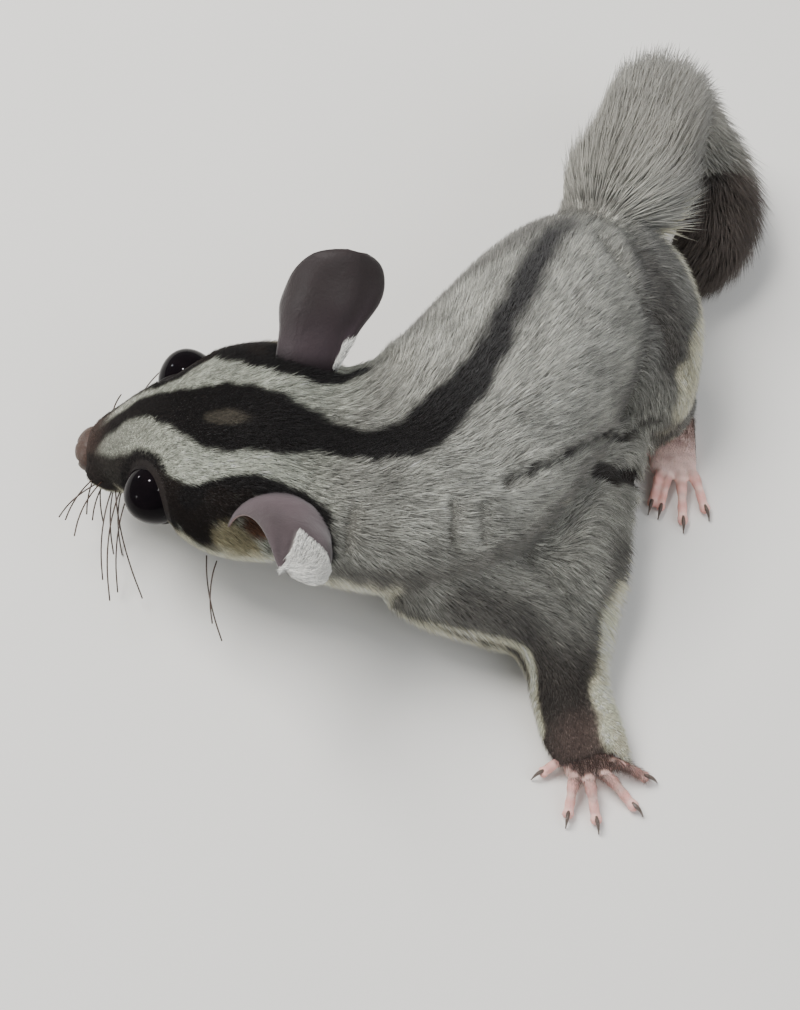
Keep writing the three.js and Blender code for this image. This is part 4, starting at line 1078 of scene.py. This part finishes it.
def paw_shells(place, heading, inner, opened, size, digits):
    """The sole, digits and pads of a paw as closed tubes, its claws, and the knuckles as [x, y, z]."""
    length, width, height = size
    fore = digits is FORE_DIGITS
    forward = on_floor(heading)
    across = np.array([-forward[1], forward[0], 0])

    def spot(x, y, z):
        return np.array([*place, 0]) + forward * x + across * y + UP * z

    stops = [[-0.1, 0.5, 0.3, 0.3, 0.3], [0.06, 0.5, 0.4, 0.46, 0.5], [0.5, 0.46, 0.47, 0.4, 0.5],
             [0.85, 0.42, 0.5, 0.32, 0.44], [1, 0.4, 0.36, 0.2, 0.3]]
    sole = [[*spot(x * length, 0, z * height), w * width, r * height, d * height] for x, z, w, r, d in stops]
    shells, claws, knuckles = [tube(sole, 24, 32)], [], []
    for number, (x, y, reach, spread) in enumerate(digits):
        thumb = not fore and number == 0
        r = 1.35 if thumb else 0.8 if not fore and number < 3 else 0.95
        knuckle = 2.0 if thumb else 2.6  # height of the first joint
        root = spot(x * length, y * inner * width, 0)
        ahead = on_floor(heading + spread * inner * opened)

        def at(share, z):
            return [*(root + ahead * (share * reach))[:2], z]

        bones = [
            [*at(0, 0.42 * height), 1.2 * r, 1.2 * r, 1.2 * r],
            [*at(0.2, 0.97 * knuckle), 1.02 * r, r, r],
            [*at(0.36, knuckle), 1.06 * r, 1.1 * r, r],
            [*at(0.53, 0.84 * knuckle), 0.82 * r, 0.84 * r, 0.84 * r],
            [*at(0.7, 0.62 * knuckle), 0.92 * r, 0.95 * r, 0.9 * r],
            [*at(0.84, 1.15), 0.84 * r, 0.8 * r, 0.84 * r],
            [*at(0.95, 1.0), 1.12 * r, 0.95 * r, 0.98 * r],
            [*at(1.05, 0.9), 0.55 * r, 0.5 * r, 0.6 * r],
        ]
        shells.append(tube(bones, 30, 18, 2.0))
        knuckles += [at(0.36, knuckle), at(0.7, 0.62 * knuckle), at(0.98, 0.8)]
        if not thumb:
            hook = [[-0.1 * reach, 1.45, 0.36, 0.42], [0.25, 1.65, 0.34, 0.42], [0.8, 1.45, 0.26, 0.34],
                    [1.3, 0.9, 0.16, 0.22], [1.65, 0.3, 0.05, 0.06]]
            claws.append(tube([[*at(1 + x / reach, z), w, h, h] for x, z, w, h in hook], 16, 12, 2.0))
    return shells, claws, knuckles


skin_pink = Finish("bare_skin", Roughness=0.5, Specular_IOR_Level=0.4, Subsurface_Weight=0.15)
skin_pink.shader.inputs["Subsurface Scale"].default_value = 0.0012
wrinkle = skin_pink.add("TexVoronoi", Vector=skin_pink.places((1, 1, 1.6)), Scale=1500.0)
blotch = skin_pink.noise(1.8, 3)
skin_pink.set(Base_Color=skin_pink.between(
    (blotch * 0.35).clamped(), skin_pink.add("Attribute", {"attribute_name": "coat"}), "b5776e"))
skin_pink.bumps(wrinkle * 0.6 + skin_pink.noise(0.3, 3) * 0.4, 0.12, 0.8)
claw_finish = Finish("claw_horn", Roughness=0.3, Specular_IOR_Level=0.5, Coat_Weight=0.3)
claw_streak = claw_finish.add("TexNoise", Vector=claw_finish.places((1, 1, 0.3)), Scale=900.0, Detail=3.0)
claw_finish.set(Base_Color=claw_finish.between(claw_streak, "2e2623", "6f6057"))
all_claws, paw_roots = [], []
for number, (node, shape) in enumerate(PAWS.items()):
    shells, claws, knuckles = paw_shells(*shape)
    all_claws += claws
    points, quads = fused(shells, 0.27)
    points = relaxed(points, quads, 5, 0.5)
    points[:, 2] = np.maximum(points[:, 2], 0.05)
    flush = 0.75 * rise(1.9 - gap_to(points, np.array(knuckles)), 0, 1.4)
    tone = toward(linear("f0d2c8"), linear("d9958b"), flush)
    # Darker by up to a quarter from 1.2 to 3.6 mm above the floor, with a random mottle.
    darker_with_height = rise(points[:, 2], 1.2, 3.6)[:, None] * 0.25 + 0.12 * ripple(points, 2.2, 8)[:, None]
    tone = tone * (1 - np.clip(darker_with_height, 0, 0.5))
    share, end = (0.7, 1.4) if "fore" in node else (0.25, 0.7)  # how dark the hair is, and where it ends
    along_paw, aside = paw_shares(points, shape)
    covered = share * rise(end - along_paw, 0, 0.7) * rise(points[:, 2], 1, 2.4)
    tone = toward(tone, linear("7d655b"), covered * rise(0.66 - np.abs(aside), 0, 0.14))
    paw = mesh_piece(node.replace("foot", "paw"), points, quads)
    paint(paw, tone)
    skin_pink.on(paw, "bare_skin")
    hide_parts(node)
    # Thin hair runs down over the back of the paw and gives out at the roots of the digits.
    spot = points[quads].mean(1)
    facing = normals_of(points, quads)
    along_paw, aside = paw_shares(spot, shape)
    haired = rise(along_paw, end + 0.4, end - 0.3) * rise(spot[:, 2], 0.9, 1.8) * rise(aside, 0.5, 0.36)
    haired = haired * (facing[quads].mean(1)[:, 2] > -0.1)
    quarter = np.array([number % 2, number // 2]) * 0.5  # each paw has a quarter of the map
    roots, normals, uv = sown(42 * haired, points, quads, facing, unwrapped(paw, quads) * 0.49)
    ways = np.repeat(on_floor(shape[1])[None], len(roots), 0)
    paw_roots.append((roots, normals, uv + quarter, ways, paw_shares(roots, shape)[0] + 1.4 - end))
claws = mesh_piece("claws", *joined(all_claws))
claw_finish.on(claws, "dark_fur")
roots, normals, uv, ways, ahead = (np.concatenate(part) for part in zip(*paw_roots))
ways = ways + chance.normal(0, 0.15, (len(roots), 3))
ways = unit(ways - normals * (ways * normals).sum(1)[:, None])
paled = rise(ahead, 0.5, 1.5)
tone = toward(linear("57463e"), linear("a88f85"), paled) * np.exp(chance.normal(0, 0.12, (len(roots), 1)))
length = (2.0 - 1.1 * paled) * chance.uniform(0.7, 1.2, len(roots))
width, lift, tips = 0.13 - 0.04 * paled, np.full(len(roots), 0.22), np.clip(tone * 1.1, 0, 1)
paw_fur = tuft_mesh("coat_paws", roots, normals, ways, length, width, lift, 0.25, tone, tips, uv, (0.0,))
coat_finish.on(paw_fur, "grey_fur")

# Whiskers.
# Dark springy hairs in rows on the lip pads, and two on each cheek; each is thickest at its root, tapers to
# nothing and bows back and down.
WHISKER_ROOTS = [  # [forward, out, up] in the head's frame, length
    [13.2, 3.6, -4.2, 8], [12.2, 4.6, -3.8, 11], [10.8, 5.4, -3.6, 14], [9.2, 6.2, -3.4, 17],
    [12.8, 4.0, -5.2, 8], [11.6, 5.2, -5.0, 12], [10.0, 6.0, -4.8, 15], [8.4, 6.7, -4.6, 18],
    [12.2, 4.0, -6.2, 8], [10.8, 5.0, -6.3, 11], [9.2, 5.8, -6.2, 14], [7.6, 6.4, -6.0, 16],
    [-9, 16.8, -6.5, 12], [-10.5, 17.2, -7.5, 10],
]
whiskers = []
for side in (1, -1):
    for x, y, z, reach in WHISKER_ROOTS:
        way = unit(np.array([0.15, side, -0.25]) + chance.normal(0, 0.3, 3))
        bow = np.array([-0.5, side * 0.1, -0.42])
        s = np.linspace(0, 1, 6)[:, None]
        spine = in_head([x, side * y, z] + reach * (s * way + 0.45 * s * s * bow))
        spine[:, 2] = np.maximum(spine[:, 2], 0.4)
        thick = 0.036 * (1 - 0.75 * s)
        whiskers.append(tube(np.concatenate([spine, thick], 1), 14, 6, 2.0, 0.0, HEAD_X))
whisker_piece = mesh_piece("whiskers", *joined(whiskers))
whisker_finish = Finish("whisker", Roughness=0.35)
whisker_finish.set(Base_Color=whisker_finish.between(whisker_finish.noise(3, 2), "2a1e18", "4a382e"))
whisker_finish.on(whisker_piece, "dark_fur")

# White tufts.
# A brush of long white hair lies over the back of each ear's root, on the side away from the face.
tufts = []
for word, s_range, u_range, reach, count in (
    ("left", (0.55, 0.98), (0.04, 1.02), 2.6, 3200), ("right", (0.0, 0.22), (0.5, 1.0), 3.0, 500),
):
    s, u = chance.uniform(*s_range, count), -EARS[word][3] * chance.uniform(*u_range, count)
    here = ear_places(word, s, u, 0.6)
    there = ear_places(word, np.minimum(s + 0.18, 1), u * 0.92, 0.6)
    ways = unit(there - here) + chance.normal(0, 0.1, (count, 3))
    lengths = reach * chance.uniform(0.6, 1.15, count)
    spots = np.stack([0.25 + 0.2 * u + 0.5 * (word == "right"), 0.1 + 0.8 * s], -1)  # a half of the map each
    tufts.append((here, ways, lengths, spots))
roots, ways, lengths, uv = (np.concatenate(part) for part in zip(*tufts))
ways = unit(ways)
normals = unit(np.cross(np.cross(ways, [0, -0.5, 0.87]), ways))
white = np.repeat(linear("fbfaf4")[None], len(roots), 0) * chance.uniform(0.9, 1, (len(roots), 1))
width = lift = np.full(len(roots), 0.2)
stops = (0.0, 0.5)
white_fur = tuft_mesh("ear_tufts", roots, normals, ways, lengths, width, lift, 0.5, white, white, uv, stops)
coat_finish.on(white_fur, "pale_fur")

# Setting.
# Plain pale floor, soft studio light, and the camera 60 degrees above the floor and 300 mm away, with the
# head to the left. Two large lamps light the coat, and four small ones show only as glints in the eyes.
CAMERA_RISE, CAMERA_GAP, FOCAL_PIXELS, TALL_PIXELS = math.radians(60), 300.0, 1898.7, 1010
VIEW = np.array([0, math.cos(CAMERA_RISE), -math.sin(CAMERA_RISE)])
camera = bpy.data.objects.new("camera", bpy.data.cameras.new("camera"))
camera.data.sensor_width = 24
camera.data.lens = 24 * FOCAL_PIXELS / TALL_PIXELS
camera.data.clip_start, camera.data.clip_end = 0.01, 20
camera.location = (np.array([0, 0, 20]) - CAMERA_GAP * VIEW + ORIGIN) / 1000
camera.rotation_euler = (math.pi / 2 - CAMERA_RISE, 0, 0)
bpy.context.scene.collection.objects.link(camera)
bpy.context.scene.camera = camera


def softbox(name, place, size, power, tint, mirrored=False):
    """A square area light that faces the animal's middle: a mirrored one shows only in glossy surfaces."""
    lamp = bpy.data.lights.new(name, "AREA")
    lamp.size, lamp.energy, lamp.color = size, power, tint
    light = bpy.data.objects.new(name, lamp)
    light.location = place
    light.visible_glossy, light.visible_diffuse = mirrored, not mirrored
    away = np.array(place) - [0, 0, 0.02]
    flat = math.hypot(away[0], away[1])
    light.rotation_euler = (math.atan2(flat, away[2]), 0, math.atan2(away[0], -away[1]))
    bpy.context.scene.collection.objects.link(light)


softbox("key", (-0.35, 0.25, 0.75), 0.5, 13.0, (1.0, 0.98, 0.95))
softbox("fill", (0.6, -0.5, 0.6), 0.8, 5.4, (0.95, 0.97, 1.0))
catch_lights = [(-0.24, 0.17, 0.68), (-0.61, -0.24, 0.35), (0.15, -0.23, 0.66), (-0.56, 0.4, 0.3)]
for number, (spot, power) in enumerate(zip(catch_lights, (2.4, 2.0, 1.0, 1.2))):
    softbox("catch_light_%d" % (number + 1), spot, 0.02, power, (1.0, 1.0, 1.0), True)
world = bpy.data.worlds.new("studio")
world.use_nodes = True
world.node_tree.nodes["Background"].inputs["Color"].default_value = (0.8, 0.82, 0.85, 1)
world.node_tree.nodes["Background"].inputs["Strength"].default_value = 0.55
bpy.context.scene.world = world
floor_points = np.array([[-1.5, -1.5, 0], [1.5, -1.5, 0], [1.5, 1.5, 0], [-1.5, 1.5, 0]]) * 1000 - ORIGIN
floor = mesh_piece("floor", floor_points, np.array([[0, 1, 2, 3]]))
floor_finish = Finish("pale_floor", Roughness=0.7)
floor_finish.set(Base_Color=floor_finish.between(floor_finish.noise(60, 2), "d9d8d4", "dedcd8"))
floor.data.materials.append(floor_finish.material)
